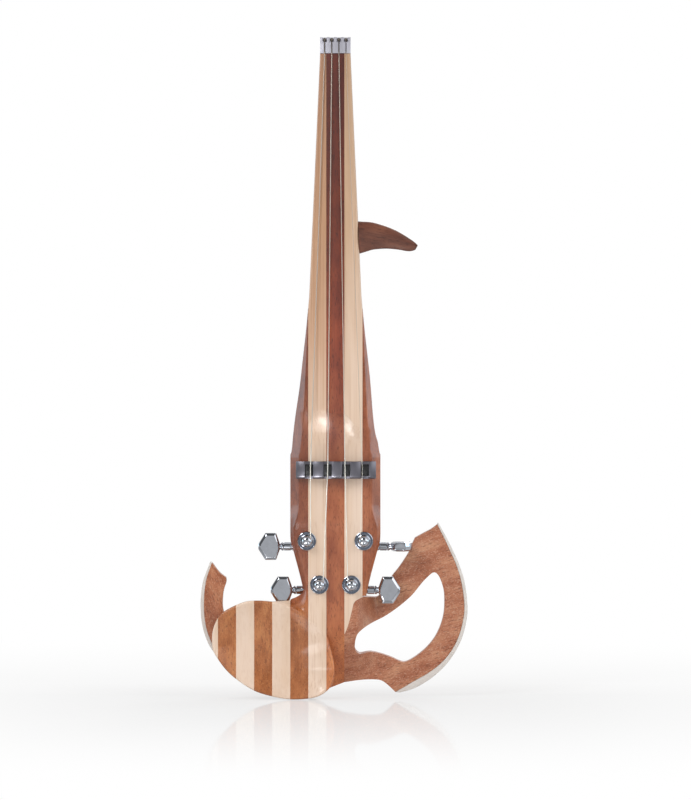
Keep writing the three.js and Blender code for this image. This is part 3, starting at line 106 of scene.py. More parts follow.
# Plain helpers for shapes given as curves
def clamp(value, low=0.0, high=1.0):
    return max(low, min(high, value))


def blend(first, second, share):
    return first + (second - first) * share


def ease(share):
    return share * share * (3 - 2 * share)


def smoothstep(low, high, value):
    return ease(clamp((value - low) / (high - low)))


def evenly(low, high, count):
    return [low + (high - low) * index / (count - 1) for index in range(count)]


def read_smooth(rows, at):
    """Value of a table at one place, on a curve that never overshoots its rows."""
    if at <= rows[0][0]:
        return rows[0][1]
    if at >= rows[-1][0]:
        return rows[-1][1]
    slopes = [(b[1] - a[1]) / (b[0] - a[0]) for a, b in zip(rows, rows[1:])]
    tangents = [slopes[0]]
    for before, after in zip(slopes, slopes[1:]):
        tangents.append(2 * before * after / (before + after) if before * after > 0 else 0.0)
    tangents.append(slopes[-1])
    row = next(index for index in range(1, len(rows)) if at <= rows[index][0])
    (low_at, low), (high_at, high) = rows[row - 1], rows[row]
    share = (at - low_at) / (high_at - low_at)
    bend = tangents[row - 1] * (share * (1 - share) ** 2) + tangents[row] * (share * share * (share - 1))
    return blend(low, high, ease(share)) + (high_at - low_at) * bend


def curve_point(four, share):
    """A point on a centripetal curve through four points in the plane."""
    first, second, third, fourth = [Vector(point) for point in four]
    pairs = ((first, second), (second, third), (third, fourth))
    near, middle, far = [max((b - a).length, sys.float_info.min) ** 0.5 for a, b in pairs]
    leaving = (second - first) / near - (third - first) / (near + middle) + (third - second) / middle
    coming = (third - second) / middle - (fourth - second) / (middle + far) + (fourth - third) / far
    place = second + (third - second) * ease(share)
    place = place + leaving * middle * (share * (1 - share) ** 2)
    place = place + coming * middle * (share * share * (share - 1))
    return place.x, place.y


def opposite(centre, point):
    return 2 * centre[0] - point[0], 2 * centre[1] - point[1]


def smooth_line(points, steps=curve_steps, closed=False):
    if closed:
        row = [points[-1], *points, points[0], points[1]]
    else:
        row = [opposite(points[0], points[1]), *points, opposite(points[-1], points[-2])]
    line = []
    for four in zip(row, row[1:], row[2:], row[3:]):
        line += [curve_point(four, step / steps) for step in range(steps)]
    return line if closed else line + [points[-1]]


def stations(low, high, creases=()):
    """Heights from low to high in fine steps, with a row on each crease."""
    marks = sorted({low, high, *[crease for crease in creases if low < crease < high]})
    heights = [low]
    for start, end in zip(marks, marks[1:]):
        steps = max(1, round((end - start) / fine_step))
        heights += [start + (end - start) * step / steps for step in range(1, steps + 1)]
    return heights


# Modelling steps
@contextmanager
def editing(choice=None):
    """Edit mode for a few steps, with all or nothing selected first."""
    bpy.ops.object.mode_set(mode="EDIT")
    if choice:
        bpy.ops.mesh.select_all(action=choice)
    yield
    bpy.ops.object.mode_set(mode="OBJECT")


def deselect_mesh():
    with editing("DESELECT"):
        pass


def clear_selection():
    for item in bpy.context.view_layer.objects.selected:
        item.select_set(False)


def only(piece):
    clear_selection()
    piece.select_set(True)
    bpy.context.view_layer.objects.active = piece


def named(name):
    piece = bpy.context.view_layer.objects.active
    piece.name = name
    piece.data.name = name
    return piece


def settle(piece):
    only(piece)
    bpy.ops.object.transform_apply(location=True, rotation=True, scale=True)
    return piece


def close_up(piece):
    """Merges doubles, then turns all faces outwards."""
    only(piece)
    with editing("SELECT"):
        bpy.ops.mesh.remove_doubles(threshold=merge_distance * MM)
        bpy.ops.mesh.normals_make_consistent(inside=False)
    return piece


def extrude(move):
    with editing("SELECT"):
        bpy.ops.mesh.extrude_region_move(TRANSFORM_OT_translate={"value": move})


def grid(name, columns, rows):
    clear_selection()
    bpy.ops.mesh.primitive_grid_add(x_subdivisions=columns - 1, y_subdivisions=rows - 1, size=1)
    return named(name)


def grid_place(vertex, columns, rows):
    return round((vertex.co.x + 0.5) * (columns - 1)), round((vertex.co.y + 0.5) * (rows - 1))


def carved(name, columns, *stretches):
    """A carved piece, of columns and stretches of rows. Each stretch has its own function that gives
    x, z, front depth and back depth for a column and a row."""
    rows = [(row, point_at) for stretch, point_at in stretches for row in stretch]
    piece = grid(name, len(columns), len(rows))
    extrude((0, 0, 1))
    for vertex in piece.data.vertices:
        column, at = grid_place(vertex, len(columns), len(rows))
        row, point_at = rows[at]
        x, z, front, back = point_at(columns[column], row)
        vertex.co = spot(x, front if vertex.co.z > 0.5 else back, z)
    return close_up(piece)


def wrapped(name, columns, rows, place_at):
    """A grid laid round a body, its seam and its ends closed by merging."""
    piece = grid(name, columns + 1, rows)
    for vertex in piece.data.vertices:
        column, row = grid_place(vertex, columns + 1, rows)
        vertex.co = place_at(column % columns, row)
    return close_up(piece)


def block(name, low, high):
    clear_selection()
    middle = [(a + b) / 2 for a, b in zip(low, high)]
    size = [(b - a) * MM for a, b in zip(low, high)]
    bpy.ops.mesh.primitive_cube_add(size=1, location=spot(*middle), scale=size)
    return settle(named(name))


def thickened(name, places, move):
    """A face through places, extruded by one move."""
    clear_selection()
    bpy.ops.mesh.primitive_circle_add(vertices=len(places), radius=1, fill_type="NGON")
    piece = named(name)
    for vertex, place in zip(piece.data.vertices, places):
        vertex.co = place
    extrude(move)
    return close_up(piece)


def plate(name, outline, back, front):
    """An outline in the front view, given a thickness."""
    return thickened(name, [spot(x, back, z) for x, z in outline], (0, (back - front) * MM, 0))


forwards = (0, -1, 0)
sideways = (1, 0, 0)


def turned(name, profile, axis=forwards, x=0, depth=0, z=0):
    """A turned piece: pairs of radius and distance along the axis, spun round it."""
    piece = grid(name, len(profile), 2)
    deselect_mesh()
    for vertex in piece.data.vertices:
        vertex.select = vertex.co.y > 0
    with editing():
        bpy.ops.mesh.delete(type="VERT")
    centre = spot(x, depth, z)
    along = Vector(axis)
    for vertex in piece.data.vertices:
        radius, reach = profile[round((vertex.co.x + 0.5) * (len(profile) - 1))]
        vertex.co = centre + (Vector((0, 0, radius)) + along * reach) * MM
    with editing("SELECT"):
        bpy.ops.mesh.spin(steps=turned_steps, angle=2 * math.pi, center=centre, axis=along)
    return close_up(piece)


def tube(name, line, radius, sides, upward):
    """A round rod along points, with flat ends."""
    rings = []
    for at, place in enumerate(line):
        along = (line[min(at + 1, len(line) - 1)] - line[max(at - 1, 0)]).normalized()
        across = along.cross(Vector(upward)).normalized()
        rings.append((place, across, across.cross(along)))

    def place_at(column, row):
        place, across, over = rings[clamp(row - 1, 0, len(line) - 1)]
        if row in (0, len(line) + 1):
            return place
        angle = 2 * math.pi * column / sides
        return place + (across * math.cos(angle) + over * math.sin(angle)) * radius * MM

    return wrapped(name, sides, len(line) + 2, place_at)


def finish_modifier(piece, kind, **settings):
    only(piece)
    modifier = piece.modifiers.new(kind.title(), kind)
    for name, value in settings.items():
        setattr(modifier, name, value)
    bpy.ops.object.modifier_apply(modifier=modifier.name)
    return piece


def combine(piece, operation, *tools):
    for tool in tools:
        finish_modifier(piece, "BOOLEAN", operation=operation, solver="EXACT", object=tool)
        bpy.data.objects.remove(tool)
    return close_up(piece)


def cut(piece, *tools):
    return combine(piece, "DIFFERENCE", *tools)


def join(piece, *tools):
    return combine(piece, "UNION", *tools)


def soften(piece, width, segments=2, angle=35):
    """Rounds every edge sharper than the angle."""
    return finish_modifier(
        piece, "BEVEL", width=width * MM, segments=segments, limit_method="ANGLE",
        angle_limit=math.radians(angle), harden_normals=False,
    )


def soften_where(piece, width, chosen, segments=3, sharp=50):
    """Rounds the sharp edges whose two ends are both chosen by place: x, depth and z."""
    only(piece)
    mesh = piece.data
    with editing():
        bpy.context.tool_settings.mesh_select_mode = (False, True, False)
        bpy.ops.mesh.select_all(action="DESELECT")
        bpy.ops.mesh.edges_select_sharp(sharpness=math.radians(sharp))

    def is_chosen(index):
        place = mesh.vertices[index].co / MM
        return chosen(place.x, -place.y, place.z + seat_height)

    kept = [edge.select and all(is_chosen(index) for index in edge.vertices) for edge in mesh.edges]
    deselect_mesh()
    for edge, keep in zip(mesh.edges, kept):
        edge.select = keep
    with editing():
        bpy.ops.mesh.bevel(offset=width * MM, segments=segments, profile=0.5, clamp_overlap=True)
    return piece


facing_share = 0.999


def inset_ends(piece, width, rise=0.0, least_side=5.0):
    """Insets the large faces that look straight forwards or back, and raises what they enclose."""
    only(piece)
    with editing():
        bpy.context.tool_settings.mesh_select_mode = (False, False, True)
        bpy.ops.mesh.select_all(action="DESELECT")
    for face in piece.data.polygons:
        face.select = abs(face.normal.y) > facing_share and face.area > (least_side * MM) ** 2
    with editing():
        bpy.ops.mesh.inset(thickness=width * MM, depth=rise * MM)
    return piece


def copy_of(piece, name):
    twin = piece.copy()
    twin.data = piece.data.copy()
    bpy.context.scene.collection.objects.link(twin)
    only(twin)
    return named(name)


def hand_over(piece, material, stands_for, body="instrument", angle=28):
    """Shades a finished piece, gives it its material and puts it in place of its solid."""
    only(piece)
    bpy.ops.object.shade_smooth_by_angle(angle=math.radians(angle))
    piece.data.materials.clear()
    piece.data.materials.append(materials[material])
    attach(piece, body)
    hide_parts(stands_for)


# Half width of neck, body and tuner deck at a height
flare_shares = [(0, 1), (0.02, 0.94), (0.12, 0.85), (0.36, 0.57), (0.61, 0.335), (0.79, 0.165), (1, 0)]
taper_shares = [(0, 0), (0.23, 0.21), (0.72, 0.76), (0.9, 0.973), (1, 1)]


def half_width(z):
    if z >= neck_root_z:
        return blend(neck_root_half, nut_half, (z - neck_root_z) / (nut_z - neck_root_z))
    if z >= flare_foot_z:
        share = read_smooth(flare_shares, (z - flare_foot_z) / (neck_root_z - flare_foot_z))
        return blend(neck_root_half, body_half, share)
    return blend(waist_half, body_half, read_smooth(taper_shares, (z - waist_z) / (taper_top_z - waist_z)))


def flare_height(half):
    """Height in the flare at which the body has a half width."""
    low, high = flare_foot_z, neck_root_z
    for _ in range(40):
        middle = (low + high) / 2
        low, high = (middle, high) if half_width(middle) > half else (low, middle)
    return low


# Bevel along each flank's front edge, narrower and steeper on the deck
bevel_width = 7.0
bevel_slope_share = 1.1
bevel_softness = 0.35
deck_bevel_width = 2.8
deck_bevel_slope_share = 1.75
deck_bevel_softness = 1.0
bevel_top_share = 0.6
bevel_change_length = 20.0


def above_deck(z):
    return smoothstep(deck_crease_z, deck_crease_z + bevel_change_length, z)


def bevel_at(z):
    full = blend(deck_bevel_width, bevel_width, above_deck(z))
    return min(full, bevel_top_share * max(half_width(z) - maple_edge, 0))


# The end of the fingerboard runs aslant, lower on the treble side
board_end_shares = [(-1, 0.07), (-0.58, 0.06), (-0.15, 0.012), (0.3, 0), (0.76, -0.2), (1, -0.26)]
slant_reach = 30.0


def slant_at(x, z):
    slant = board_end_gap * read_smooth(board_end_shares, x / maple_edge)
    return slant * (1 - smoothstep(0, slant_reach, abs(z - board_end_z)))


# Front of neck and body
shoulder_step = 0.8
shoulder_slope_share = 0.25


def board_depth(x, z):
    crest = blend(board_depth_at_end, board_depth_at_nut, clamp((z - board_end_z) / (nut_z - board_end_z)))
    reach = min(abs(x), maple_edge)
    crown = crest - board_radius + math.sqrt(board_radius**2 - reach**2)
    beyond = abs(x) - maple_edge
    return crown - shoulder_step - shoulder_slope_share * beyond if beyond > 0 else crown


def front_depth(x, z, level):
    flat = blend(plateau_depth, deck_depth, 1 - smoothstep(deck_crease_z, bay_top_z, level))
    run = clamp((level - scoop_foot_z) / (board_end_z - scoop_foot_z))
    front = blend(flat, board_depth(x, z), run**2)
    if abs(x) <= maple_edge + merge_distance:
        return front
    beyond = abs(x) - (half_width(z) - bevel_at(z))
    slope = blend(deck_bevel_slope_share, bevel_slope_share, above_deck(z))
    softness = blend(deck_bevel_softness, bevel_softness, above_deck(z))
    return front - slope * (beyond + math.hypot(beyond, softness)) / 2


# Back of neck, heel and body, rounded towards the sides
body_back_rounding = 5.0
neck_squareness = 2.2
body_squareness = 6.0


def back_depth(x, z):
    heel = smoothstep(scoop_foot_z, heel_top_z, z)
    middle = (board_depth(0, z) - neck_thickness) * heel
    side_front = board_depth(min(half_width(z), maple_edge), z)
    side = blend(body_back_rounding, side_front - neck_side_height, heel)
    squareness = blend(body_squareness, neck_squareness, heel)
    reach = min(abs(x) / half_width(z), 1)
    return blend(middle, side, 1 - (1 - reach**squareness) ** (1 / squareness))


bay_wall = 3.0
bay_foot_z = waist_z - bay_wall


def deck_back(x, z):
    """Back of the deck, with the bay behind it that the tuners sit in."""
    top = 1 - clamp((z - (bay_top_z - bay_wall)) / bay_wall)
    foot = clamp((z - bay_foot_z) / bay_wall)
    plain = 0 if z < waist_z else back_depth(x, z)
    return blend(plain, deck_under, min(top, foot))


# Chin dish: its outline as shares of its half sizes about its centre
dish_width = 96.4
dish_height = 78.0
dish_centre_x = -49.1
dish_centre_z = dish_height / 2
dish_curve_steps = 6
dish_outline_shares = [
    (-0.73, 0.834), (-0.831, 0.749), (-0.919, 0.614), (-0.98, 0.43), (-1, 0.2), (-0.985, 0),
    (-0.914, -0.163), (-0.769, -0.403), (-0.614, -0.578), (-0.318, -0.818), (-0.018, -0.937),
    (0.274, -0.996), (0.573, -0.982), (0.735, -0.939), (0.867, -0.841), (0.965, -0.687),
    (1.004, -0.437), (0.984, -0.195), (0.947, 0.007), (0.867, 0.317), (0.735, 0.499), (0.576, 0.662),
    (0.416, 0.797), (0.274, 0.886), (0.083, 0.959), (-0.114, 0.991), (-0.308, 0.999), (-0.468, 0.975),
]
dish_points = [
    (dish_centre_x + across * dish_width / 2, dish_centre_z + up * dish_height / 2)
    for across, up in dish_outline_shares
]
dish_outline = smooth_line(dish_points, dish_curve_steps, closed=True)
dish_sides = list(zip(dish_outline, dish_outline[1:] + dish_outline[:1]))


def crossings(at, own, other):
    """Where the dish's outline crosses one x (own 0, other 1) or one z (own 1, other 0)."""
    hits = []
    for start, end in dish_sides:
        if (start[own] <= at) != (end[own] <= at):
            rise = (end[other] - start[other]) * (at - start[own]) / (end[own] - start[own])
            hits.append(start[other] + rise)
    return hits


def dish_span(x):
    """Lowest and highest z of the dish at one x."""
    hits = crossings(x, 0, 1)
    return min(hits), max(hits)


def distance_to_rim(x, z):
    nearest = math.inf
    for (from_x, from_z), (to_x, to_z) in dish_sides:
        along_x = to_x - from_x
        along_z = to_z - from_z
        share = clamp(((x - from_x) * along_x + (z - from_z) * along_z) / (along_x**2 + along_z**2))
        nearest = min(nearest, math.hypot(x - from_x - share * along_x, z - from_z - share * along_z))
    return nearest


rim_depth = 44.0
rim_thickness = 8.0
rim_under = rim_depth - rim_thickness
rim_lip = 1.2
rim_rounding = 1.4
dish_sag = 7.0
dish_bottom_reach = 36.0
underside_reach = 16.0


def rounded_off(distance):
    """How far a rounded edge has fallen at a distance from the side it meets."""
    if distance >= rim_rounding:
        return 0.0
    return rim_rounding - math.sqrt(rim_rounding**2 - (rim_rounding - distance) ** 2)


def dish_front(x, z):
    share = clamp(max(distance_to_rim(x, z) - rim_lip, 0) / dish_bottom_reach)
    return rim_depth - dish_sag * (1 - (1 - share) ** 2)


def dish_back(x, z):
    inward = smoothstep(0, underside_reach, distance_to_rim(x, z))
    return blend(rim_under, wing_thickness + clearance, inward)


def dish_row_point(x, share):
    """A place on a core or flank lamella's stretch in the dish; the upper rim runs on into the deck."""
    low_z, high_z = dish_span(x)
    z = blend(low_z, high_z, share)
    fall = rounded_off(distance_to_rim(x, z)) if z < dish_centre_z else 0
    return x, z, dish_front(x, z) - fall


# The root of the treble wing falls away from the deck's level to the wing's
root_ridge_x = 16.0
root_foot_x = 34.0
root_foot_z = 8.0
root_top_z = 58.0


def root_level(x, z):
    across = smoothstep(0, root_foot_x - root_ridge_x, root_foot_x - x)
    up = smoothstep(root_foot_z, root_top_z, z)
    return wing_thickness + (deck_depth - wing_thickness) * across * up


# Core lamellae
flank_tip_width = 0.12
flank_tip_z = flare_height(maple_edge + flank_tip_width)
creases = (waist_z, deck_crease_z, bay_top_z - bay_wall, bay_top_z, flare_foot_z, scoop_foot_z,
           board_end_z, flank_tip_z, neck_root_z)
core_rows = stations(waist_z, nut_z, creases)
flank_rows = stations(waist_z, flank_tip_z, creases)
core_columns = 13
edge_shares = [0, 0.12, 0.25, 0.38, 0.5, 0.62, 0.74, 0.84, 0.9, 0.94, 0.97, 0.99, 1]
board_edge_rounding = 1.3
flank_sliver = 0.2
centre_foot_z = 6.4
centre_foot_rise = 5.6
foot_shares = evenly(0, 0.97, 30)
dish_row_shares = [0, 0.002, 0.007, 0.014, 0.022, 0.032] + evenly(0.055, 0.97, 34) + [0.985, 1]
gap_shares = evenly(0.15, 1, 6)


def core_point(x, level):
    z = level + slant_at(x, level)
    front = front_depth(x, z, level)
    at_edge = half_width(z) - abs(x)
    if half_width(z) < maple_edge + flank_sliver and at_edge < board_edge_rounding:
        inward = board_edge_rounding - max(at_edge, 0)
        front -= board_edge_rounding - math.sqrt(board_edge_rounding**2 - inward**2)
    return x, z, front, deck_back(x, z)


def core_centre():
    def foot_point(x, share):
        foot_z = centre_foot_z + centre_foot_rise * (x + core_edge) / lamination_width
        z = blend(foot_z, waist_z, share)
        return x, z, root_level(x, z), back_depth(x, waist_z)

    def upper_point(x, level):
        x, z, front, _ = core_point(x, level)
        return x, z, front, back_depth(x, z)

    columns = evenly(-core_edge, core_edge, core_columns)
    body = carved("core_centre", columns, (foot_shares, foot_point), (core_rows, upper_point))
    return join(body, dish_on_centre())


def dish_on_centre():
    low_z, high_z = dish_span(-core_edge)
    columns = evenly(0, 0.9, 8) + [0.94, 0.965, 0.985, 1]
    rows = evenly(low_z + hair, high_z - hair, 40)

    def point_at(across, z):
        right = max(*crossings(z, 1, 0), -core_edge + hair)
        x = blend(-core_edge, right, across)
        return x, z, dish_front(x, z) - rounded_off(distance_to_rim(x, z)), 0

    return carved("dish_on_centre", columns, (rows, point_at))


def maple_x(share, z):
    return blend(core_edge, min(maple_edge, half_width(z)), share)


def core_maple_bass():
    def dish_point(share, up):
        return *dish_row_point(-maple_x(share, waist_z), up), 0

    def gap_point(share, up):
        x = -maple_x(share, waist_z)
        return x, blend(dish_span(x)[1], bay_foot_z, up), blend(rim_depth, deck_depth, up), 0

    def upper_point(share, level):
        return core_point(-maple_x(share, level), level)

    return carved(
        "core_maple_bass_wood", edge_shares[::-1],
        (dish_row_shares, dish_point), (gap_shares, gap_point), (core_rows, upper_point),
    )


# The treble maple ends in a curve where the wing starts
maple_end_shares = [(0, 0), (0.18, 0.2), (0.4, 0.6), (0.54, 0.86), (1, 1)]
maple_end_drop = 29.5
maple_end_margin = 1.0
end_row_shares = evenly(0, 0.9, 10)


def maple_end_z(x):
    share = read_smooth(maple_end_shares, (x - core_edge) / lamination_width)
    return waist_z - maple_end_margin - maple_end_drop * (1 - share)


def core_maple_treble():
    def end_point(share, up):
        x = maple_x(share, waist_z)
        z = blend(maple_end_z(x), waist_z, up)
        return x, z, deck_depth, deck_back(x, z)

    def upper_point(share, level):
        return core_point(maple_x(share, level), level)

    stretches = (end_row_shares, end_point), (core_rows, upper_point)
    return carved("core_maple_treble_wood", edge_shares, *stretches)


# Flanks
flank_shares = evenly(0, 0.9, 8) + [0.97, 1]
flank_bevel_shares = [0.08, 0.25, 0.5, 0.75, 0.92, 1]
flank_columns = len(flank_shares) + len(flank_bevel_shares)
fillet_shares = [(0, 0), (0.355, 0), (0.63, 0.458), (0.753, 0.69), (0.837, 0.835), (0.94, 0.97), (1, 1)]
fillet_row_shares = evenly(0.06, 1, 18)
fillet_top_z = 86.0
fillet_row_gap = 1.0
fillet_fall = 6.0
fillet_level_share = fillet_shares[1][0]


def flank_x(column, z):
    inner = half_width(z) - bevel_at(z)
    if column < len(flank_shares):
        return blend(maple_edge, inner, flank_shares[column])
    return inner + flank_bevel_shares[column - len(flank_shares)] * bevel_at(z)


def flank_point(x, level):
    z = level + slant_at(x, level)
    return x, z, front_depth(x, z, level), deck_back(x, z)


def flank_treble():
    def point_at(column, level):
        return flank_point(flank_x(column, level), level)

    return carved("flank_treble_wood", range(flank_columns), (flank_rows, point_at))


def shoulder_back(up):
    """Underside of the shoulder that fills the corner between dish and deck."""
    return blend(rim_under, deck_under, up)


def flank_bass():
    def spread(column):
        return (flank_x(column, waist_z) - maple_edge) / (waist_half - maple_edge)

    def dish_point(column, up):
        x, z, front = dish_row_point(-blend(maple_edge, flank_edge, spread(column)), up)
        return x, z, front, dish_back(x, z)

    def fillet_point(column, up):
        edge = blend(flank_edge, half_width(fillet_top_z), read_smooth(fillet_shares, up))
        x = -blend(maple_edge, edge, spread(column))
        fall = fillet_fall * smoothstep(waist_half, flank_edge, -x) * min(up / fillet_level_share, 1)
        front = blend(rim_depth, front_depth(x, fillet_top_z, fillet_top_z), up) - fall
        return x, blend(dish_span(x)[1], fillet_top_z, up), front, shoulder_back(up)

    def upper_point(column, level):
        return flank_point(-flank_x(column, level), level)

    upper_rows = [level for level in flank_rows if level > fillet_top_z + fillet_row_gap]
    return carved(
        "flank_bass_wood", range(flank_columns)[::-1],
        (dish_row_shares, dish_point), (fillet_row_shares, fillet_point), (upper_rows, upper_point),
    )


# The dish beyond the flank: one blank, sawn into its lamellae
edge_round_steps = 5
dish_ring_insets = [2.2, 3.4, 5, 7, 9.5, 12.5, 16, 20, 24, 28.5, 33, 38]
dish_lamellae = ["dish_maple_inner", "dish_mahogany_inner", "dish_maple_middle",
                 "dish_mahogany_outer", "dish_maple_outer"]


def dish_blank():
    steps = [math.pi / 2 * step / edge_round_steps for step in range(edge_round_steps + 1)]
    insets = [rim_rounding * (1 - math.cos(angle)) for angle in steps] + dish_ring_insets
    centre = Vector((dish_centre_x, dish_centre_z))

    def place_at(column, row):
        is_back = row < len(insets)
        inset = insets[len(insets) - 1 - row] if is_back else insets[row - len(insets)]
        out = Vector(dish_outline[column]) - centre
        share = 1 - inset / out.length if inset < insets[-1] else 0
        x, z = centre + out * max(share, 0)
        fall = rounded_off(distance_to_rim(x, z))
        return spot(x, dish_back(x, z) + fall if is_back else dish_front(x, z) - fall, z)

    return wrapped("dish_blank", len(dish_outline), 2 * len(insets), place_at)


def sawn_dish(blank, at):
    inner = -(flank_edge + at * lamination_width)
    outer = inner - lamination_width
    slab = block("slab", [outer, -overrun, -overrun], [inner, rim_depth + overrun, dish_height + overrun])
    piece = combine(copy_of(blank, dish_lamellae[at] + "_wood"), "INTERSECT", slab)
    return join(piece, shoulder_tail(outer, inner)) if at == 0 else piece


# The shoulder behind the rim runs out along the innermost lamella. Its seat's rows give the drop below the
# rim's upper edge, the front depth and the back depth
tail_columns = 15
tail_row_shares = evenly(0.15, 1, 6)
tail_sliver = 0.02
tail_start_share = 0.03
tail_seat_rows = [(2.5, 41.5, 37.0), (0.75, 43.5, 36.5)]
tail_front = 43.2
tail_lift = 0.4


def shoulder_tail(outer, inner):
    tail_z = dish_span(outer)[1]
    shoulder_z = blend(dish_span(inner)[1], fillet_top_z, fillet_level_share)

    def seat_point(across, row):
        x = blend(outer, inner, across)
        drop, front, back = row
        return x, dish_span(x)[1] - drop, front, back

    def upper_point(across, up):
        x = blend(outer, inner, across)
        high_z = dish_span(x)[1]
        rise = max(blend(tail_z, shoulder_z, across) - high_z, tail_sliver)
        back = shoulder_back(fillet_level_share * across * up) + tail_sliver
        return x, high_z + rise * up, tail_front - (fillet_fall * across - tail_lift) * up, back

    columns = evenly(tail_start_share, 1, tail_columns)
    return carved("shoulder_tail", columns, (tail_seat_rows, seat_point), (tail_row_shares, upper_point))


# Pocket, and the holes for bushings and jack
pocket_half = 28.0
pocket_foot_z = 150.1
pocket_top_z = 191.1
pocket_depth = 24.0
cover_side_margin = 3.0
cover_end_margin = 5.5
cover_thickness = 2.2
cover_screw_z = {
    "lower": pocket_foot_z - cover_end_margin / 2,
    "upper": pocket_top_z + cover_end_margin / 2,
}
upper_post_x = 22.4
lower_post_x = 12.6
tuners = [
    {"name": side_name + "_" + level, "side": side, "x": side * x, "z": z}
    for level, x, z in (("upper", upper_post_x, upper_post_z), ("lower", lower_post_x, lower_post_z))
    for side_name, side in (("bass", -1), ("treble", 1))
]
worm_offset = 4.8
shaft_depth = 27.0
bushing_radius = 4.7
jack_z = 184.6
jack_depth = 14.5
jack_flange_radius = 7.5
jack_flange_thickness = 1.6
jack_barrel_radius = 5.2
jack_length = 23.0
jack_bore_radius = 3.25
jack_bore_length = 20.0
jack_hole_length = 25.0


def pocket_tools():
    low = [-pocket_half, -overrun, pocket_foot_z]
    inner = block("pocket", low, [pocket_half, pocket_depth, pocket_top_z])
    across = pocket_half + cover_side_margin
    seat = block(
        "seat", [-across, -overrun, pocket_foot_z - cover_end_margin],
        [across, cover_thickness + clearance, pocket_top_z + cover_end_margin],
    )
    return [inner, seat]


def bushing_tool(tuner):
    radius = bushing_radius + clearance
    low = deck_under - overrun
    high = deck_depth + overrun
    profile = [(0, low), (radius, low), (radius, high), (0, high)]
    return turned("bushing_hole", profile, x=tuner["x"], z=tuner["z"])


def jack_tool():
    outer = -body_half
    flange = jack_flange_radius + clearance
    barrel = jack_barrel_radius + clearance
    floor = outer + jack_flange_thickness + clearance
    end = outer + jack_hole_length
    profile = [
        (0, outer - overrun), (flange, outer - overrun), (flange, floor), (barrel, floor), (barrel, end),
        (0, end),
    ]
    return turned("jack_hole", profile, sideways, depth=jack_depth, z=jack_z)


# Treble wing
wing_reach = 96.0
wing_rise = 138.0
edge_rounding = 1.0
joint_margin = 0.5
pick_margin = 0.1
wing_inner_shares = [
    (0.157, 0.585), (0.21, 0.58), (0.276, 0.58), (0.325, 0.621), (0.399, 0.701), (0.459, 0.754),
    (0.536, 0.838), (0.558, 0.876), (0.586, 0.918),
]
wing_tip_shares = [(0.586, 0.918), (0.667, 0.949), (0.718, 0.968), (0.769, 0.994)]
wing_outer_shares = [
    (0.769, 0.994), (0.857, 0.869), (0.949, 0.714), (0.991, 0.548), (0.985, 0.456), (0.928, 0.321),
    (0.828, 0.217), (0.704, 0.145), (0.568, 0.09), (0.422, 0.03),
]
wing_foot_shares = [(0.422, 0.03), (0.36, 0.071), (0.305, 0.097), (0.24, 0.103), (0.13, 0.1), (0, 0.087)]
wing_hole_shares = [
    (0.741, 0.719), (0.667, 0.678), (0.546, 0.579), (0.349, 0.473), (0.163, 0.407), (0.108, 0.373),
    (0.087, 0.319), (0.091, 0.276), (0.124, 0.256), (0.218, 0.263), (0.371, 0.235), (0.476, 0.204),
    (0.518, 0.205), (0.64, 0.259), (0.733, 0.327), (0.788, 0.396), (0.821, 0.472), (0.83, 0.548),
    (0.821, 0.627), (0.772, 0.708),
]


def on_wing(shares):
    return [(core_edge + across * wing_reach, up * wing_rise) for across, up in shares]


def wing_slab():
    columns = [core_edge - overrun] + evenly(core_edge, root_ridge_x, 6)[1:]
    columns += evenly(root_ridge_x, root_foot_x, 16)[1:] + [core_edge + wing_reach + overrun]
    rows = [-overrun] + evenly(root_foot_z, root_top_z, 26) + [wing_rise + overrun]
    return carved("wing_slab", columns, (rows, lambda x, z: (x, z, root_level(x, z), -overrun)))


def wing_treble():
    outline = [(x, maple_end_z(x)) for x in (core_edge + s * lamination_width for s in evenly(0, 1, 19))]
    for shares in (wing_inner_shares, wing_tip_shares, wing_outer_shares):
        outline += smooth_line(on_wing(shares))[:-1]
    outline += smooth_line(on_wing(wing_foot_shares))
    hole_line = smooth_line(on_wing(wing_hole_shares), closed=True)
    piece = plate("wing_treble_wood", outline, 0, deck_depth + overrun)
    piece = cut(piece, plate("wing_hole", hole_line, -overrun, deck_depth + 2 * overrun))
    piece = combine(piece, "INTERSECT", wing_slab())

    def is_free(x, depth, z):
        high = z > maple_end_z(max(x, core_edge)) - joint_margin
        return x > core_edge + joint_margin and not (x < maple_edge + joint_margin and high)

    return soften_where(piece, edge_rounding, is_free)


# Bass arm
arm_reach = 84.0
arm_rise = 108.0
arm_tip_shares = [(0.914, 0.989), (0.844, 0.919), (0.782, 0.881)]
arm_inner_shares = [
    (0.782, 0.881), (0.779, 0.852), (0.801, 0.796), (0.811, 0.75), (0.807, 0.634), (0.7, 0.48),
    (0.5, 0.43), (0.25, 0.5), (0, 0.58),
]
arm_outer_shares = [
    (0, 0.05), (0.2, 0.035), (0.42, 0.065), (0.62, 0.14), (0.78, 0.24), (0.903, 0.381), (0.969, 0.517),
    (0.99, 0.684), (0.969, 0.859), (0.914, 0.989),
]


def on_arm(shares):
    return [(-(maple_edge + across * arm_reach), up * arm_rise) for across, up in shares]


def arm_bass():
    outline = smooth_line(on_arm(arm_tip_shares))[:-1] + smooth_line(on_arm(arm_inner_shares))
    outline += smooth_line(on_arm(arm_outer_shares))[:-1]
    piece = plate("arm_bass_wood", outline, 0, wing_thickness)
    return soften_where(piece, edge_rounding, lambda x, depth, z: x < -maple_edge - joint_margin)


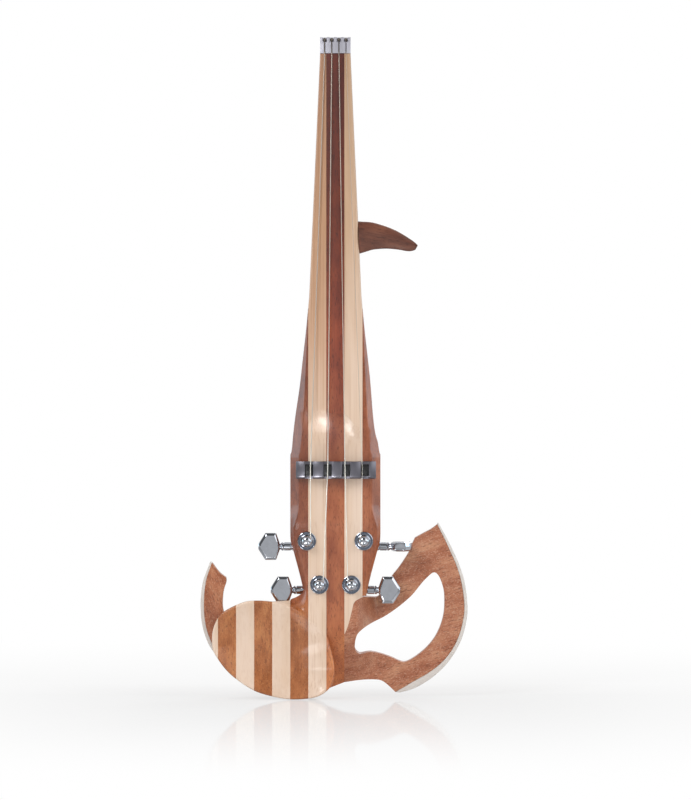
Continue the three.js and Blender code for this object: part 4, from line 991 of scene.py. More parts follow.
# Pale edge bands
treble_band_shares = [
    (0.777, 1.006), (0.883, 0.869), (0.981, 0.705), (1.018, 0.552), (1.015, 0.456), (0.964, 0.323),
    (0.862, 0.204), (0.731, 0.115), (0.579, 0.051), (0.46, 0.027),
]
bass_band_shares = [
    (0.857, 0.291), (0.938, 0.378), (0.998, 0.502), (1.022, 0.648), (1.004, 0.837), (0.932, 0.997),
]
bass_band_first_point = 4
band_rounding = 0.6


def offset_line(line, distance):
    moved = []
    for at, (x, z) in enumerate(line):
        before_x, before_z = line[max(at - 1, 0)]
        after_x, after_z = line[min(at + 1, len(line) - 1)]
        reach = distance / math.hypot(after_x - before_x, after_z - before_z)
        moved.append((x + reach * (after_z - before_z), z - reach * (after_x - before_x)))
    return moved


def edge_band(name, inner_line, band_line):
    outline = offset_line(inner_line, -hair) + smooth_line(band_line)[::-1]
    return soften(plate(name, outline, 0, wing_thickness), band_rounding, segments=3, angle=50)


def edge_band_treble():
    inner = smooth_line(on_wing(wing_outer_shares))
    return edge_band("edge_band_treble_strip", inner, on_wing(treble_band_shares))


def edge_band_bass():
    inner = smooth_line(on_arm(arm_outer_shares))[bass_band_first_point * curve_steps:]
    return edge_band("edge_band_bass_strip", inner, on_arm(bass_band_shares))


# Hand stop
hand_stop_upper_shares = [
    (0, 1), (0.2, 0.98), (0.42, 0.88), (0.64, 0.72), (0.87, 0.47), (0.96, 0.35), (1, 0.28),
]
hand_stop_lower_shares = [
    (0, 0), (0.13, 0.07), (0.25, 0.13), (0.46, 0.155), (0.65, 0.13), (0.85, 0.075), (0.95, 0.11), (1, 0.24),
]
hand_stop_height = 25.5
hand_stop_below_nut = 132.0
hand_stop_foot_z = nut_z - hand_stop_below_nut - hand_stop_height
hand_stop_reach = 46.0
hand_stop_depth = 45.0
hand_stop_half = 5.0
hand_stop_tip_share = 0.55
hand_stop_edge_share = 0.12
hand_stop_rounding = 0.5
hand_stop_columns = 33
hand_stop_rows = 25


def hand_stop():
    columns = [math.sin(angle) for angle in evenly(0, math.pi / 2, hand_stop_columns)]
    rows = [-math.cos(angle) for angle in evenly(0, math.pi, hand_stop_rows)]

    def point_at(along, across):
        low = read_smooth(hand_stop_lower_shares, along)
        high = read_smooth(hand_stop_upper_shares, along)
        z = hand_stop_foot_z + hand_stop_height * blend(low, high, (across + 1) / 2)
        x = half_width(z) + along * hand_stop_reach
        roundness = blend(hand_stop_edge_share, 1, math.sqrt(max(1 - across**2, 0)))
        half = hand_stop_half * blend(1, hand_stop_tip_share, along) * roundness
        return x, z, hand_stop_depth + half, hand_stop_depth - half

    def is_free(x, depth, z):
        return x > half_width(z) + joint_margin

    piece = carved("hand_stop_wood", columns, (rows, point_at))
    return soften_where(piece, hand_stop_rounding, is_free, segments=2)


# Headpiece
string_pitch_at_nut = 5.6
string_names = ["g", "d", "a", "e"]
string_diameters = [0.85, 0.8, 0.7, 0.4]
string_count = len(string_names)
groove_width = 1.3
groove_depth = 1.8
ball_pocket_width = 3.6
ball_pocket_height = 4.0
head_rise = 0.7
head_thickness = 18.0
head_rounding = 0.3
head_columns = 25


def string_place(string):
    """How many string pitches a string stands beside the middle."""
    return string - (string_count - 1) / 2


def head_front(x):
    return board_depth(x, nut_z) + head_rise


def headpiece():
    def point_at(x, z):
        return x, z, head_front(x), max(back_depth(x, nut_z), board_depth_at_nut - head_thickness)

    tools = []
    for string in range(string_count):
        x = string_place(string) * string_pitch_at_nut
        for name, width, depth, low_z in (
            ("groove", groove_width, groove_depth, nut_z - overrun),
            ("ball_pocket", ball_pocket_width, ball_pocket_width, top_z - ball_pocket_height),
        ):
            low = [x - width / 2, head_front(x) - depth, low_z]
            tools.append(block(name, low, [x + width / 2, board_depth_at_nut + overrun, top_z + overrun]))
    columns = evenly(-nut_half, nut_half, head_columns)
    casting = carved("headpiece_casting", columns, ([nut_z + hair, top_z], point_at))
    return soften(cut(casting, *tools), head_rounding, angle=40)


# Bridge and saddles
bridge_half = 31.5
bridge_offset = 0.5
bridge_bar_depth = 47.0
bridge_crest = 57.2
bridge_arch_radius = 95.0
bridge_thickness = 13.8
bridge_roll_radius = 2.6
bridge_roll_margin = 0.6
bridge_rounding = 0.45
slot_pitch = 14.65
slot_width = 6.2
slot_offset = 1.2
string_pitch_at_bridge = 13.6
string_offset = 0.8
inner_string_rise = 14.0
outer_string_rise = 10.6
saddle_thickness = 9.0
saddle_gap = 0.1
saddle_crown_drop = 1.6
saddle_side_drop = 0.5
saddle_rounding = 0.3


def slot_middle(string):
    return slot_offset + string_place(string) * slot_pitch


def arch_depth(x):
    return bridge_crest - bridge_arch_radius + math.sqrt(bridge_arch_radius**2 - (x - slot_offset) ** 2)


def bridge():
    edges = [bridge_offset - bridge_half]
    for string in range(string_count):
        edges += [slot_middle(string) - slot_width / 2, slot_middle(string) + slot_width / 2]
    edges.append(bridge_offset + bridge_half)
    outline = []
    for left, right in zip(edges[::2], edges[1::2]):
        outline += [(left, bridge_bar_depth), (left, arch_depth(left)), (right, arch_depth(right)),
                    (right, bridge_bar_depth)]
    outline[0] = (edges[0], plateau_depth + hair)
    outline[-1] = (edges[-1], plateau_depth + hair)
    low_z = bridge_z - bridge_thickness / 2
    places = [spot(x, depth, low_z) for x, depth in outline]
    piece = thickened("bridge_body", places, (0, 0, bridge_thickness * MM))

    def is_rolled(x, depth, z):
        return z < low_z + pick_margin and depth > arch_depth(x) - bridge_roll_margin

    soften_where(piece, bridge_roll_radius, is_rolled, segments=4)
    return soften(piece, bridge_rounding, angle=40)


def string_depth_at_bridge(string):
    return plateau_depth + (outer_string_rise if string in (0, string_count - 1) else inner_string_rise)


def saddle(string):
    half = slot_width / 2 - saddle_gap
    crest = string_depth_at_bridge(string) - string_diameters[string] / 2

    def point_at(across, up):
        front = crest - saddle_crown_drop * up**2 - saddle_side_drop * across**4
        x = slot_middle(string) + half * across
        return x, bridge_z + up * saddle_thickness / 2, front, bridge_bar_depth + hair

    name = "saddle_" + string_names[string] + "_block"
    return soften(carved(name, evenly(-1, 1, 9), (evenly(-1, 1, 17), point_at)), saddle_rounding, angle=50)


# Posts. Each piece of a tuner is made round the foot of its post, which placed() then moves into place
post_radius = 3.0
post_waist_radius = 2.4
post_head_radius = 4.0
post_pin_radius = 1.6
post_foot = 19.5
gear_radius = 2.9
gear_foot = 24.5
gear_top = 29.5
post_waist_low = 46.7
post_waist_high = 51.2
post_top = 55.2
post_chamfer = 0.4
dome_height = 2.6
dome_steps = 8


def tuner_post():
    dome = []
    for step in range(dome_steps):
        angle = math.pi / 2 * step / dome_steps
        height = post_top - dome_height + dome_height * math.sin(angle)
        dome.append((post_head_radius * math.cos(angle), height))
    return turned("post", [
        (0, post_foot), (post_pin_radius, post_foot), (post_pin_radius, gear_foot),
        (gear_radius, gear_foot), (gear_radius, gear_top), (post_radius, gear_top),
        (post_radius, post_waist_low), (post_waist_radius, post_waist_low + clearance),
        (post_waist_radius, post_waist_high - post_chamfer),
        (post_head_radius - post_chamfer, post_waist_high),
        (post_head_radius, post_waist_high + clearance), *dome, (0, post_top),
    ])


# Bushings: rows of radius beyond a part's own and height above the deck
washer_radius = 7.4
collar_radius = 5.2
post_bore_radius = 3.15
bead_rows = [(-0.15, 0.05), (0, 0.25), (0, 1.2), (-0.12, 1.58), (-0.35, 1.7), (-0.6, 1.58), (-0.75, 1.3)]
collar_rows = [(0.25, 0.5), (0, 0.8), (0, 2.65), (-0.1, 2.92), (-0.3, 3.0), (-0.7, 2.85)]
mouth_rows = [(0.6, 2.25), (0, 1.9)]


def tuner_bushing():
    foot = deck_under + clearance
    seat = deck_depth + hair
    profile = [(post_bore_radius, foot), (bushing_radius, foot), (bushing_radius, seat)]
    rings = ((washer_radius, bead_rows), (collar_radius, collar_rows), (post_bore_radius, mouth_rows))
    for radius, rows in rings:
        profile += [(radius + beyond, deck_depth + height) for beyond, height in rows]
    return turned("bushing", profile + [(post_bore_radius, foot)])


# Housings: a block with a round lid behind and a grooved nose round the shaft
housing_low = [-5.2, 19.0, -8.2]
housing_high = [9.0, 32.7, 5.6]
housing_rounding = 1.2
lid_z = -0.6
lid_rows = [(0, 18.2), (4.2, 18.2), (4.6, 18.6), (4.6, 20), (0, 20)]
nose_radius = 3.35
nose_groove_radius = 2.9
nose_groove_rows = [
    (nose_radius, 11.5), (nose_groove_radius, 12), (nose_groove_radius, 12.6), (nose_radius, 13.1),
]
nose_end = 18.4
nose_chamfer = 0.4


def turned_on_shaft(name, profile):
    return turned(name, profile, sideways, depth=shaft_depth, z=-worm_offset)


def tuner_housing():
    body = soften(block("housing", housing_low, housing_high), housing_rounding, segments=3)
    nose = [(0, 0), (nose_radius, 0), *nose_groove_rows, (nose_radius, nose_end - nose_chamfer),
            (nose_groove_radius, nose_end), (0, nose_end)]
    return join(body, turned("lid", lid_rows, z=lid_z), turned_on_shaft("nose", nose))


# Buttons: an eight-sided plate with wide chamfers, on a turned neck
button_neck_end = 21.5
button_tip = 38.6
button_half = 10.6
button_thickness = 7.6
button_outline_shares = [
    (0, 0.2), (0.18, 1), (0.68, 1), (1, 0.2), (1, -0.2), (0.68, -1), (0.18, -1), (0, -0.2),
]
button_chamfer_width = 2.0
button_chamfer_rise = 1.0
button_rounding = 0.25
button_face_margin = 0.4
neck_start = 18.6
neck_rows = [
    (0, 0), (3.1, 0), (3.4, 0.4), (3.4, 1.2), (2.9, 1.7), (2.5, 2.6), (2.9, 4.1), (3.2, 5.9), (0, 5.9),
]


def tuner_button(edgewise):
    length = button_tip - button_neck_end
    outline = [
        (button_neck_end + along * length, up * button_half - worm_offset)
        for along, up in button_outline_shares
    ]
    reach = button_thickness / 2 - button_chamfer_rise
    face = plate("button", outline, shaft_depth - reach, shaft_depth + reach)
    inset_ends(face, button_chamfer_width, button_chamfer_rise)
    soften(face, button_rounding, angle=20)
    inset_ends(face, button_face_margin)
    if edgewise:
        only(face)
        pivot = spot(0, shaft_depth, -worm_offset)
        bpy.ops.transform.rotate(value=math.pi / 2, orient_axis="X", center_override=pivot)
        settle(face)
    neck = turned_on_shaft("neck", [(radius, neck_start + reach) for radius, reach in neck_rows])
    return join(face, neck)


def placed(piece, name, tuner):
    twin = copy_of(piece, name)
    if tuner["side"] < 0:
        twin.scale = (-1, 1, 1)
        settle(twin)
    twin.location = (tuner["x"] * MM, 0, tuner["z"] * MM)
    settle(twin)
    return close_up(twin)


# Strings, from the headpiece over the saddle to the inner side of the post, and their turns on it
string_to_tuner = [0, 2, 3, 1]
string_sides = 12
string_lip_drop = 0.6
string_lip_reach = 3.0
string_nut_rise = 0.35
groove_floor_gap = 0.1
crown_reaches = (0.9, 0.3, -0.3, -0.9)
crown_bend_share = 0.12
crown_seat = 0.11
straight_end = 2.0
ball_radius = 1.4
wrap_top = 50.9
wrap_turns = 3
wrap_steps = 32
wrap_sides = 10
wrap_pitch_share = 1.03


def wrap_radius(string):
    return post_waist_radius + hair + string_diameters[string] / 2


def string_line(string):
    radius = string_diameters[string] / 2
    nut_x = string_place(string) * string_pitch_at_nut
    tuner = tuners[string_to_tuner[string]]
    ball_depth = head_front(nut_x) - groove_depth + groove_floor_gap + radius
    ball = spot(nut_x, ball_depth, top_z - ball_pocket_height / 2)
    lip = spot(nut_x, head_front(nut_x) - string_lip_drop, nut_z + string_lip_reach)
    nut = spot(nut_x, head_front(nut_x) + string_nut_rise, nut_z)
    bridge_x = string_offset + string_place(string) * string_pitch_at_bridge
    crown = spot(bridge_x, string_depth_at_bridge(string), bridge_z)
    end = spot(tuner["x"] - tuner["side"] * wrap_radius(string), wrap_top - radius, tuner["z"])
    line = [ball, lip, nut]
    for reach in crown_reaches:
        along = ((nut if reach > 0 else end) - crown).normalized() * abs(reach)
        line.append(crown + (along + Vector((0, crown_bend_share * reach**2 - crown_seat, 0))) * MM)
    return line + [end + (crown - end).normalized() * straight_end * MM, end]


def string_piece(string):
    line = string_line(string)
    name = "string_" + string_names[string] + "_wire"
    piece = tube(name, line, string_diameters[string] / 2, string_sides, sideways)
    clear_selection()
    radius = ball_radius * MM
    bpy.ops.mesh.primitive_uv_sphere_add(segments=20, ring_count=12, radius=radius, location=line[0])
    return join(piece, settle(named("ball")))


def winding_piece(string):
    tuner = tuners[string_to_tuner[string]]
    diameter = string_diameters[string]
    line = []
    for step in range(wrap_turns * wrap_steps + 1):
        angle = 2 * math.pi * step / wrap_steps
        x = tuner["x"] - tuner["side"] * wrap_radius(string) * math.cos(angle)
        depth = wrap_top - diameter / 2 - diameter * wrap_pitch_share * step / wrap_steps
        line.append(spot(x, depth, tuner["z"] - wrap_radius(string) * math.sin(angle)))
    return tube("winding_" + string_names[string] + "_wire", line, diameter / 2, wrap_sides, (0, 1, 0))


# Cover, its screws and the jack. Rows give radius and depth
cover_gap = 0.15
cover_rounding = 0.4
sink_rows = [(0, -1), (2.6, -1), (2.6, 0), (1.5, 1.4), (1.5, 4), (0, 4)]
screw_rows = [(0, 0.05), (2.0, 0.05), (2.3, 0.2), (1.3, 1.2), (1.3, 10), (0, 10)]
screw_slot_half = 1.3
screw_slot_width = 0.5
screw_slot_depth = 0.6
jack_chamfer = 0.5
jack_mouth = 0.4
jack_mouth_flare = 0.35


def electronics_cover():
    across = pocket_half + cover_side_margin - cover_gap
    low = [-across, 0, pocket_foot_z - cover_end_margin + cover_gap]
    high = [across, cover_thickness, pocket_top_z + cover_end_margin - cover_gap]
    sinks = [turned("sink", sink_rows, z=z) for z in cover_screw_z.values()]
    return cut(soften(block("cover_sheet", low, high), cover_rounding), *sinks)


def cover_screw(level):
    z = cover_screw_z[level]
    half = screw_slot_width / 2
    slots = [
        block("slot", [-across, -overrun, z - up], [across, screw_slot_depth, z + up])
        for across, up in ((screw_slot_half, half), (half, screw_slot_half))
    ]
    return cut(turned("cover_screw_" + level + "_head", screw_rows, z=z), *slots)


def output_jack():
    outer = -body_half
    flange_end = outer + jack_flange_thickness
    profile = [
        (jack_bore_radius, outer + jack_mouth), (jack_bore_radius + jack_mouth_flare, outer),
        (jack_flange_radius - jack_chamfer, outer), (jack_flange_radius, outer + jack_chamfer),
        (jack_flange_radius, flange_end), (jack_barrel_radius, flange_end),
        (jack_barrel_radius, outer + jack_length), (0, outer + jack_length), (0, outer + jack_bore_length),
        (jack_bore_radius, outer + jack_bore_length), (jack_bore_radius, outer + jack_mouth),
    ]
    return turned("output_jack_socket", profile, sideways, depth=jack_depth, z=jack_z)


# Materials
def linear(code):
    """An sRGB hex colour as linear red, green, blue and alpha."""
    channels = [int(code[at:at + 2], 16) / 255 for at in (0, 2, 4)]
    return [c / 12.92 if c <= 0.04045 else ((c + 0.055) / 1.055) ** 2.4 for c in channels] + [1.0]


def grey(level):
    """A level of light, which may be above white."""
    return [level, level, level, 1.0]


def feed(node, inputs):
    """Sets a node's inputs: each is a value, a socket, or a node whose first output it takes."""
    for name, value in inputs.items():
        if isinstance(value, bpy.types.Node):
            value = value.outputs[0]
        if isinstance(value, bpy.types.NodeSocket):
            node.id_data.links.new(value, node.inputs[name])
        else:
            node.inputs[name].default_value = value


def add_node(tree, kind, inputs=None, stops=None, **settings):
    """A node with its settings, its ramp's stops, and values and links for its inputs."""
    made = tree.nodes.new("ShaderNode" + kind)
    for name, value in settings.items():
        setattr(made, name, value)
    feed(made, inputs or {})
    if stops:
        ramp = made.color_ramp.elements
        while len(ramp) < len(stops):
            ramp.new(1.0)
        for element, (position, colour) in zip(ramp, stops):
            element.position = position
            element.color = colour
    return made


def new_material(name):
    material = bpy.data.materials.new(name)
    material.use_nodes = True
    shader = next(item for item in material.node_tree.nodes if item.type == "BSDF_PRINCIPLED")
    return material, material.node_tree, shader


grain_roughness = 0.55


def grain(tree, cell, turn=(0, 0, 0), shift=0.0, detail=3.0):
    """Noise stretched to cells of a size in millimetres, on the piece's own coordinates."""
    coordinates = add_node(tree, "TexCoord").outputs["Object"]
    scale = [size * MM for size in cell]
    mapping = add_node(tree, "Mapping", {
        "Vector": coordinates, "Scale": scale, "Rotation": turn, "Location": (shift * MM, 0, shift * MM),
    }, vector_type="TEXTURE")
    inputs = {"Vector": mapping, "Scale": 1.0, "Detail": detail, "Roughness": grain_roughness}
    return add_node(tree, "TexNoise", inputs)


def toned_by_height(tree, colour, low_z, high_z, stops):
    """A colour that changes tone from one height on the instrument to another: painted shade, with some of
    its own tone on the wood.
    """
    place = add_node(tree, "SeparateXYZ", {0: add_node(tree, "TexCoord").outputs["Object"]})
    low, high = [(z - seat_height) * MM for z in (low_z, high_z)]
    up = add_node(tree, "MapRange", {0: place.outputs["Z"], 1: low, 2: high})
    tone = add_node(tree, "ValToRGB", {0: up}, [(share, linear(code)) for share, code in stops])
    inputs = {0: 1.0, 6: colour, 7: tone}
    return add_node(tree, "Mix", inputs, data_type="RGBA", blend_type="MULTIPLY").outputs[2]


# Marks in wood: cells in millimetres, detail, and the levels of noise between which they come up.
# Real pores and growth lines are finer: they are drawn as coarse as they need to show
streak_marks = ((1.9, 1.9, 70), 3.0, 0.52, 0.66)
fleck_marks = ((0.9, 0.9, 1.3), 2.0, 0.52, 0.7)
pore_marks = ((0.8, 0.8, 4.2), 1.0, 0.58, 0.7)
growth_lines = ((1.2, 1.2, 210), 2.0, 0.5, 0.68)

# Tones of wood: cells in millimetres, and the levels of noise of the tones
mottle = ((9, 9, 26), (0.32, 0.5, 0.7))
maple_drift = ((14, 14, 120), (0.35, 0.62))

# Relief: strength, height in millimetres, and whether the marks are sunk.
# Gloss: roughness and share of lacquer
pore_relief = (0.12, 0.15, True)
line_relief = (0.06, 0.08, False)
mahogany_roughness = 0.4
maple_gloss = (0.38, 0.55)
lacquer = {"Coat Roughness": 0.09, "Coat IOR": 1.5}


def wood(name, drift, tones, marks, turn, shift, tone_and_shade, relief, gloss):
    """Tones that drift, marks along the grain one kind over the other, and the last kind as a relief."""
    material, tree, shader = new_material(name)
    cell, levels = drift
    colour = add_node(tree, "ValToRGB", {0: grain(tree, cell, turn, shift)}, list(zip(levels, tones)))
    for (cell, detail, low, high), strength, mark in marks:
        noise = grain(tree, cell, turn, shift, detail)
        share = add_node(tree, "MapRange", {0: noise, 1: low, 2: high, 4: strength})
        colour = add_node(tree, "Mix", {0: share, 6: colour, 7: mark}, data_type="RGBA").outputs[2]
    # Darkens the colour by height: partly the wood's own tone, partly painted shade
    if tone_and_shade:
        colour = toned_by_height(tree, colour, *tone_and_shade)
    strength, height, is_sunk = relief
    raised = {"Strength": strength, "Distance": height * MM, "Height": share}
    bump = add_node(tree, "Bump", raised, invert=is_sunk)
    roughness, coat = gloss
    inputs = {"Base Color": colour, "Normal": bump, "Roughness": roughness, "Coat Weight": coat}
    feed(shader, {**inputs, **lacquer})
    return material


# Mahogany, planed and lacquered: red-brown and mottled, with short dark pores, long streaks and pale flecks
def mahogany(name, colours, turn=0, shift=0.0, tone_and_shade=None, streaks=0.5, flecks=0.3, pores=0.55, coat=0.55):
    dark, middle, light, pore, fleck = [linear(code) for code in colours]
    marks = [(streak_marks, streaks, dark), (fleck_marks, flecks, fleck), (pore_marks, pores, pore)]
    slope = (0, math.radians(turn), 0)
    tones = [dark, middle, light]
    return wood(name, mottle, tones, marks, slope, shift, tone_and_shade, pore_relief, (mahogany_roughness, coat))


# Maple, planed and lacquered: pale, with thin tan growth lines along the grain and a clear gloss
def maple(name, colours, shift=0.0, tone_and_shade=None, lines=0.15):
    pale, warm, line = [linear(code) for code in colours]
    marks = [(growth_lines, lines, line)]
    tones = [warm, pale]
    upright = (0, 0, 0)
    return wood(name, maple_drift, tones, marks, upright, shift, tone_and_shade, line_relief, maple_gloss)


# Metals and plastics: how far their tone drifts with the noise, and their relief in millimetres
noise_range = {1: 0.3, 2: 0.7}
metal_tint_range = {3: 0.9, 4: 1.0}
metal_relief = 0.05
plastic_levels = (0.35, 0.65)
plastic_relief = 0.1


# A metal whose gloss and tone drift a little over fine marks, which breaks up its highlights
def metal(name, code, roughness, spread, cell, strength=0.02, tones=None):
    material, tree, shader = new_material(name)
    marks = grain(tree, cell)
    tint = add_node(tree, "MapRange", {0: marks, **noise_range, **metal_tint_range})
    level = add_node(tree, "CombineColor", {0: tint, 1: tint, 2: tint})
    pair = {0: 1.0, 6: linear(code), 7: level}
    colour = add_node(tree, "Mix", pair, data_type="RGBA", blend_type="MULTIPLY").outputs[2]
    # Painted shade by height, used on the strings
    if tones:
        colour = toned_by_height(tree, colour, *tones)
    gloss = add_node(tree, "MapRange", {0: marks, **noise_range, 3: roughness, 4: roughness + spread})
    bump = add_node(tree, "Bump", {"Strength": strength, "Distance": metal_relief * MM, "Height": marks})
    feed(shader, {"Base Color": colour, "Metallic": 1.0, "Roughness": gloss, "Normal": bump})
    return material


# A moulded plastic: one even colour with a faint texture, which dulls its shine
def plastic(name, code, other, roughness, cell, strength=0.05):
    material, tree, shader = new_material(name)
    marks = grain(tree, cell)
    tones = (linear(code), linear(other))
    tone = add_node(tree, "ValToRGB", {0: marks}, list(zip(plastic_levels, tones)))
    bump = add_node(tree, "Bump", {"Strength": strength, "Distance": plastic_relief * MM, "Height": marks})
    feed(shader, {"Base Color": tone, "Roughness": roughness, "Normal": bump})
    return material


# Browns: dark, middle and light wood, pores, flecks.
# Tone and shade: two heights, and the tones from one to the other. They darken the wood by height:
# partly its own tone, partly painted shade
body_browns = ["ad6034", "c77845", "dc8f54", "5c2c13", "dc935d"]
dish_browns = ["94501f", "af6837", "c5814a", "5c2d13", "cc8c55"]
flank_browns = ["9e5a24", "bb7640", "d39257", "623316", "da9e63"]
wing_browns = ["9f5e41", "b37455", "c58d6b", "5a2c1a", "ddb49a"]
arm_browns = ["98532f", "b06b46", "c0825c", "5a2c1a", "d6a482"]
stop_browns = ["50281a", "693a28", "7b4a35", "32170c", "855540"]
maple_tones = ["ebd2bd", "e3c6ac", "c59c79"]
flank_tone_and_shade_z = 62.0
# The centre lamella darkens towards the head: partly its own tone, partly painted shade
core_tone_and_shade = (0, nut_z, [
    (0.07, "ffffff"), (0.13, "d9c6cc"), (0.2, "d6c3c9"), (0.3, "d6c3c9"), (0.39, "baa1ad"),
    (0.55, "b3817a"), (0.73, "8c5b42"), (0.94, "72402b"),
])
# The maples darken towards the nut, the bass one more: partly their own tone, partly painted shade
maple_bass_tone_and_shade = (flare_foot_z, nut_z, [
    (0, "ffffff"), (0.27, "e7d4c6"), (0.56, "d5bba4"), (1, "bd9e87"),
])
maple_treble_tone_and_shade = (flare_foot_z, nut_z, [
    (0, "ffffff"), (0.27, "f9f6f3"), (0.56, "e2d6c8"), (1, "c9b7a2"),
])
# The flanks darken towards the deck: partly their own tone, partly painted shade
bass_tone_and_shade = (flank_tone_and_shade_z, taper_top_z, [
    (0, "ffffff"), (0.25, "e8cccc"), (0.6, "cdb4c0"), (1, "bfa6b5"),
])
treble_tone_and_shade = (flank_tone_and_shade_z, taper_top_z, [
    (0, "ffffff"), (0.25, "fff0f4"), (0.6, "e4c8d6"), (1, "d7bbcb"),
])
# Painted shade on the strings: greyer above the bridge, darkest in the headpiece's grooves
wire_painted_shade = (bridge_z, top_z, [
    (0, "ffffff"), (0.13, "dcd4ce"), (0.44, "c6bab4"), (0.957, "c6bab4"), (0.97, "7d7876"),
])
materials = {
    "core": mahogany("mahogany_core", body_browns, tone_and_shade=core_tone_and_shade, flecks=0.15, streaks=0.35),
    "flank_bass": mahogany("mahogany_flank_bass", dish_browns, shift=37, tone_and_shade=bass_tone_and_shade),
    "flank_treble": mahogany("mahogany_flank_treble", flank_browns, shift=37, tone_and_shade=treble_tone_and_shade),
    "dish": mahogany("mahogany_dish", dish_browns, shift=71, flecks=0.45),
    # Sawn slabs with little lacquer, their grain across the instrument: dull and streaky
    "wing": mahogany("mahogany_wing", wing_browns, 73, 13, streaks=0.6, flecks=0.45, coat=0.05),
    "arm": mahogany("mahogany_arm", arm_browns, -20, 53, flecks=0.5, coat=0.2),
    "stop": mahogany("mahogany_hand_stop", stop_browns, 100, 91, flecks=0.15, coat=0.3),
    "maple_bass": maple("maple_core_bass", maple_tones, 0, maple_bass_tone_and_shade, 0.4),
    "maple_treble": maple("maple_core_treble", maple_tones, 17, maple_treble_tone_and_shade, 0.3),
    "maple_dish": maple("maple_dish", maple_tones, 29),
    # Cast and polished: pale, with a soft sheen
    "band": plastic("cast_acrylic_edge_band", "dbd5cf", "d4cdc6", 0.22, (6, 6, 6), 0.01),
    # Milled and anodised: light and cool, with a blurred gloss
    "alloy": metal("anodised_aluminium", "dcdbe6", 0.32, 0.08, (0.5, 0.5, 6)),
    # Satin plated: dark grey, with brushed marks across the bar
    "bridge": metal("dark_satin_nickel", "807f88", 0.3, 0.08, (0.4, 3, 0.4)),
    # Buffed and plated: a mirror
    "chrome": metal("chrome_plate", "c8ccd4", 0.07, 0.03, (5, 5, 5), 0.005),
    # Turned, left bare: fine marks along the piece
    "steel": metal("turned_steel", "8c8c92", 0.28, 0.1, (0.4, 0.4, 2)),
    # Flat ribbon wound and ground: pale and dull, with painted shade that greys it towards the nut and
    # darkens it most on the headpiece
    "wire": metal("flat_wound_steel", "f4eee4", 0.42, 0.1, (0.5, 0.5, 0.5), tones=wire_painted_shade),
    # Moulded against a grained tool: matt black
    "black": plastic("abs_black", "0b0b0d", "131316", 0.5, (0.6, 0.6, 0.6)),
    # Glass cloth under a screened lacquer: even green
    "board": plastic("solder_mask_green", "1f5a3c", "276a48", 0.4, (3, 3, 3)),
    # Printed tin: grey, with a low sheen
    "case": metal("printed_tin_case", "8a8a8e", 0.35, 0.1, (2, 2, 2)),
    # Extruded vinyl: dull black
    "sleeve": plastic("pvc_sleeve", "141416", "1c1c20", 0.5, (0.8, 0.8, 0.8)),
}


# Wooden pieces. Core and flanks have the pocket, their tuners' holes and, on the bass side, the jack's
def dress_wood():
    for node, make, bores, has_jack, slot_name, material in (
        ("core_centre_mahogany", core_centre, [], False, "mahogany", "core"),
        ("core_maple_bass", core_maple_bass, [0, 2], True, "maple", "maple_bass"),
        ("core_maple_treble", core_maple_treble, [1, 3], False, "maple", "maple_treble"),
        ("flank_bass", flank_bass, [0], True, "mahogany", "flank_bass"),
        ("flank_treble", flank_treble, [1], False, "mahogany", "flank_treble"),
    ):
        tools = pocket_tools() + [bushing_tool(tuners[bore]) for bore in bores]
        tools += [jack_tool()] if has_jack else []
        hand_over(cut(make(), *tools), material, node)
    blank = dish_blank()
    for at, name in enumerate(dish_lamellae):
        is_maple = "maple" in name
        material = "maple_dish" if is_maple else "dish"
        hand_over(sawn_dish(blank, at), material, name)
    bpy.data.objects.remove(blank)
    hand_over(wing_treble(), "wing", "wing_treble")
    hand_over(arm_bass(), "arm", "arm_bass")
    hand_over(hand_stop(), "stop", "hand_stop", angle=50)
    hand_over(edge_band_treble(), "band", "edge_band_treble")
    hand_over(edge_band_bass(), "band", "edge_band_bass")


def dress_fittings():
    hand_over(headpiece(), "alloy", "headpiece")
    hand_over(bridge(), "bridge", "bridge")
    for string, name in enumerate(string_names):
        hand_over(saddle(string), "black", "saddle_" + name)
        hand_over(string_piece(string), "wire", "string_" + name, angle=60)
        post = "post_" + tuners[string_to_tuner[string]]["name"]
        hand_over(winding_piece(string), "wire", "string_winding_" + name, post, angle=60)
    hand_over(electronics_cover(), "black", "electronics_cover")
    for level in cover_screw_z:
        hand_over(cover_screw(level), "steel", "cover_screw_" + level)
    hand_over(output_jack(), "chrome", "output_jack")


def dress_tuners():
    made = {"housing": tuner_housing(), "post": tuner_post(), "bushing": tuner_bushing()}
    buttons = [tuner_button(False), tuner_button(True)]
    for tuner in tuners:
        name = tuner["name"]
        made["button"] = buttons[name == "treble_upper"]
        bodies = {
            "housing": "instrument", "bushing": "instrument",
            "post": "post_" + name, "button": "key_" + name,
        }
        for part, body in bodies.items():
            twin = placed(made[part], part + "_" + name, tuner)
            hand_over(twin, "chrome", "tuner_" + part + "_" + name, body, angle=35)
    for piece in (made["housing"], made["post"], made["bushing"], *buttons):
        bpy.data.objects.remove(piece)


def dress_hidden():
    """Pieces inside keep their solids and get a finish."""
    finishes = {
        "hand_stop_dowel": "maple_dish", "battery": "case", "preamp_board": "board", "jack_lead": "sleeve",
        "bridge_screw_bass": "steel", "bridge_screw_treble": "steel",
    }
    for tuner in tuners:
        finishes["tuner_worm_" + tuner["name"]] = "steel"
    for name, finish in finishes.items():
        node = frame["nodes"][name]
        node.data.materials.clear()
        node.data.materials.append(materials[finish])


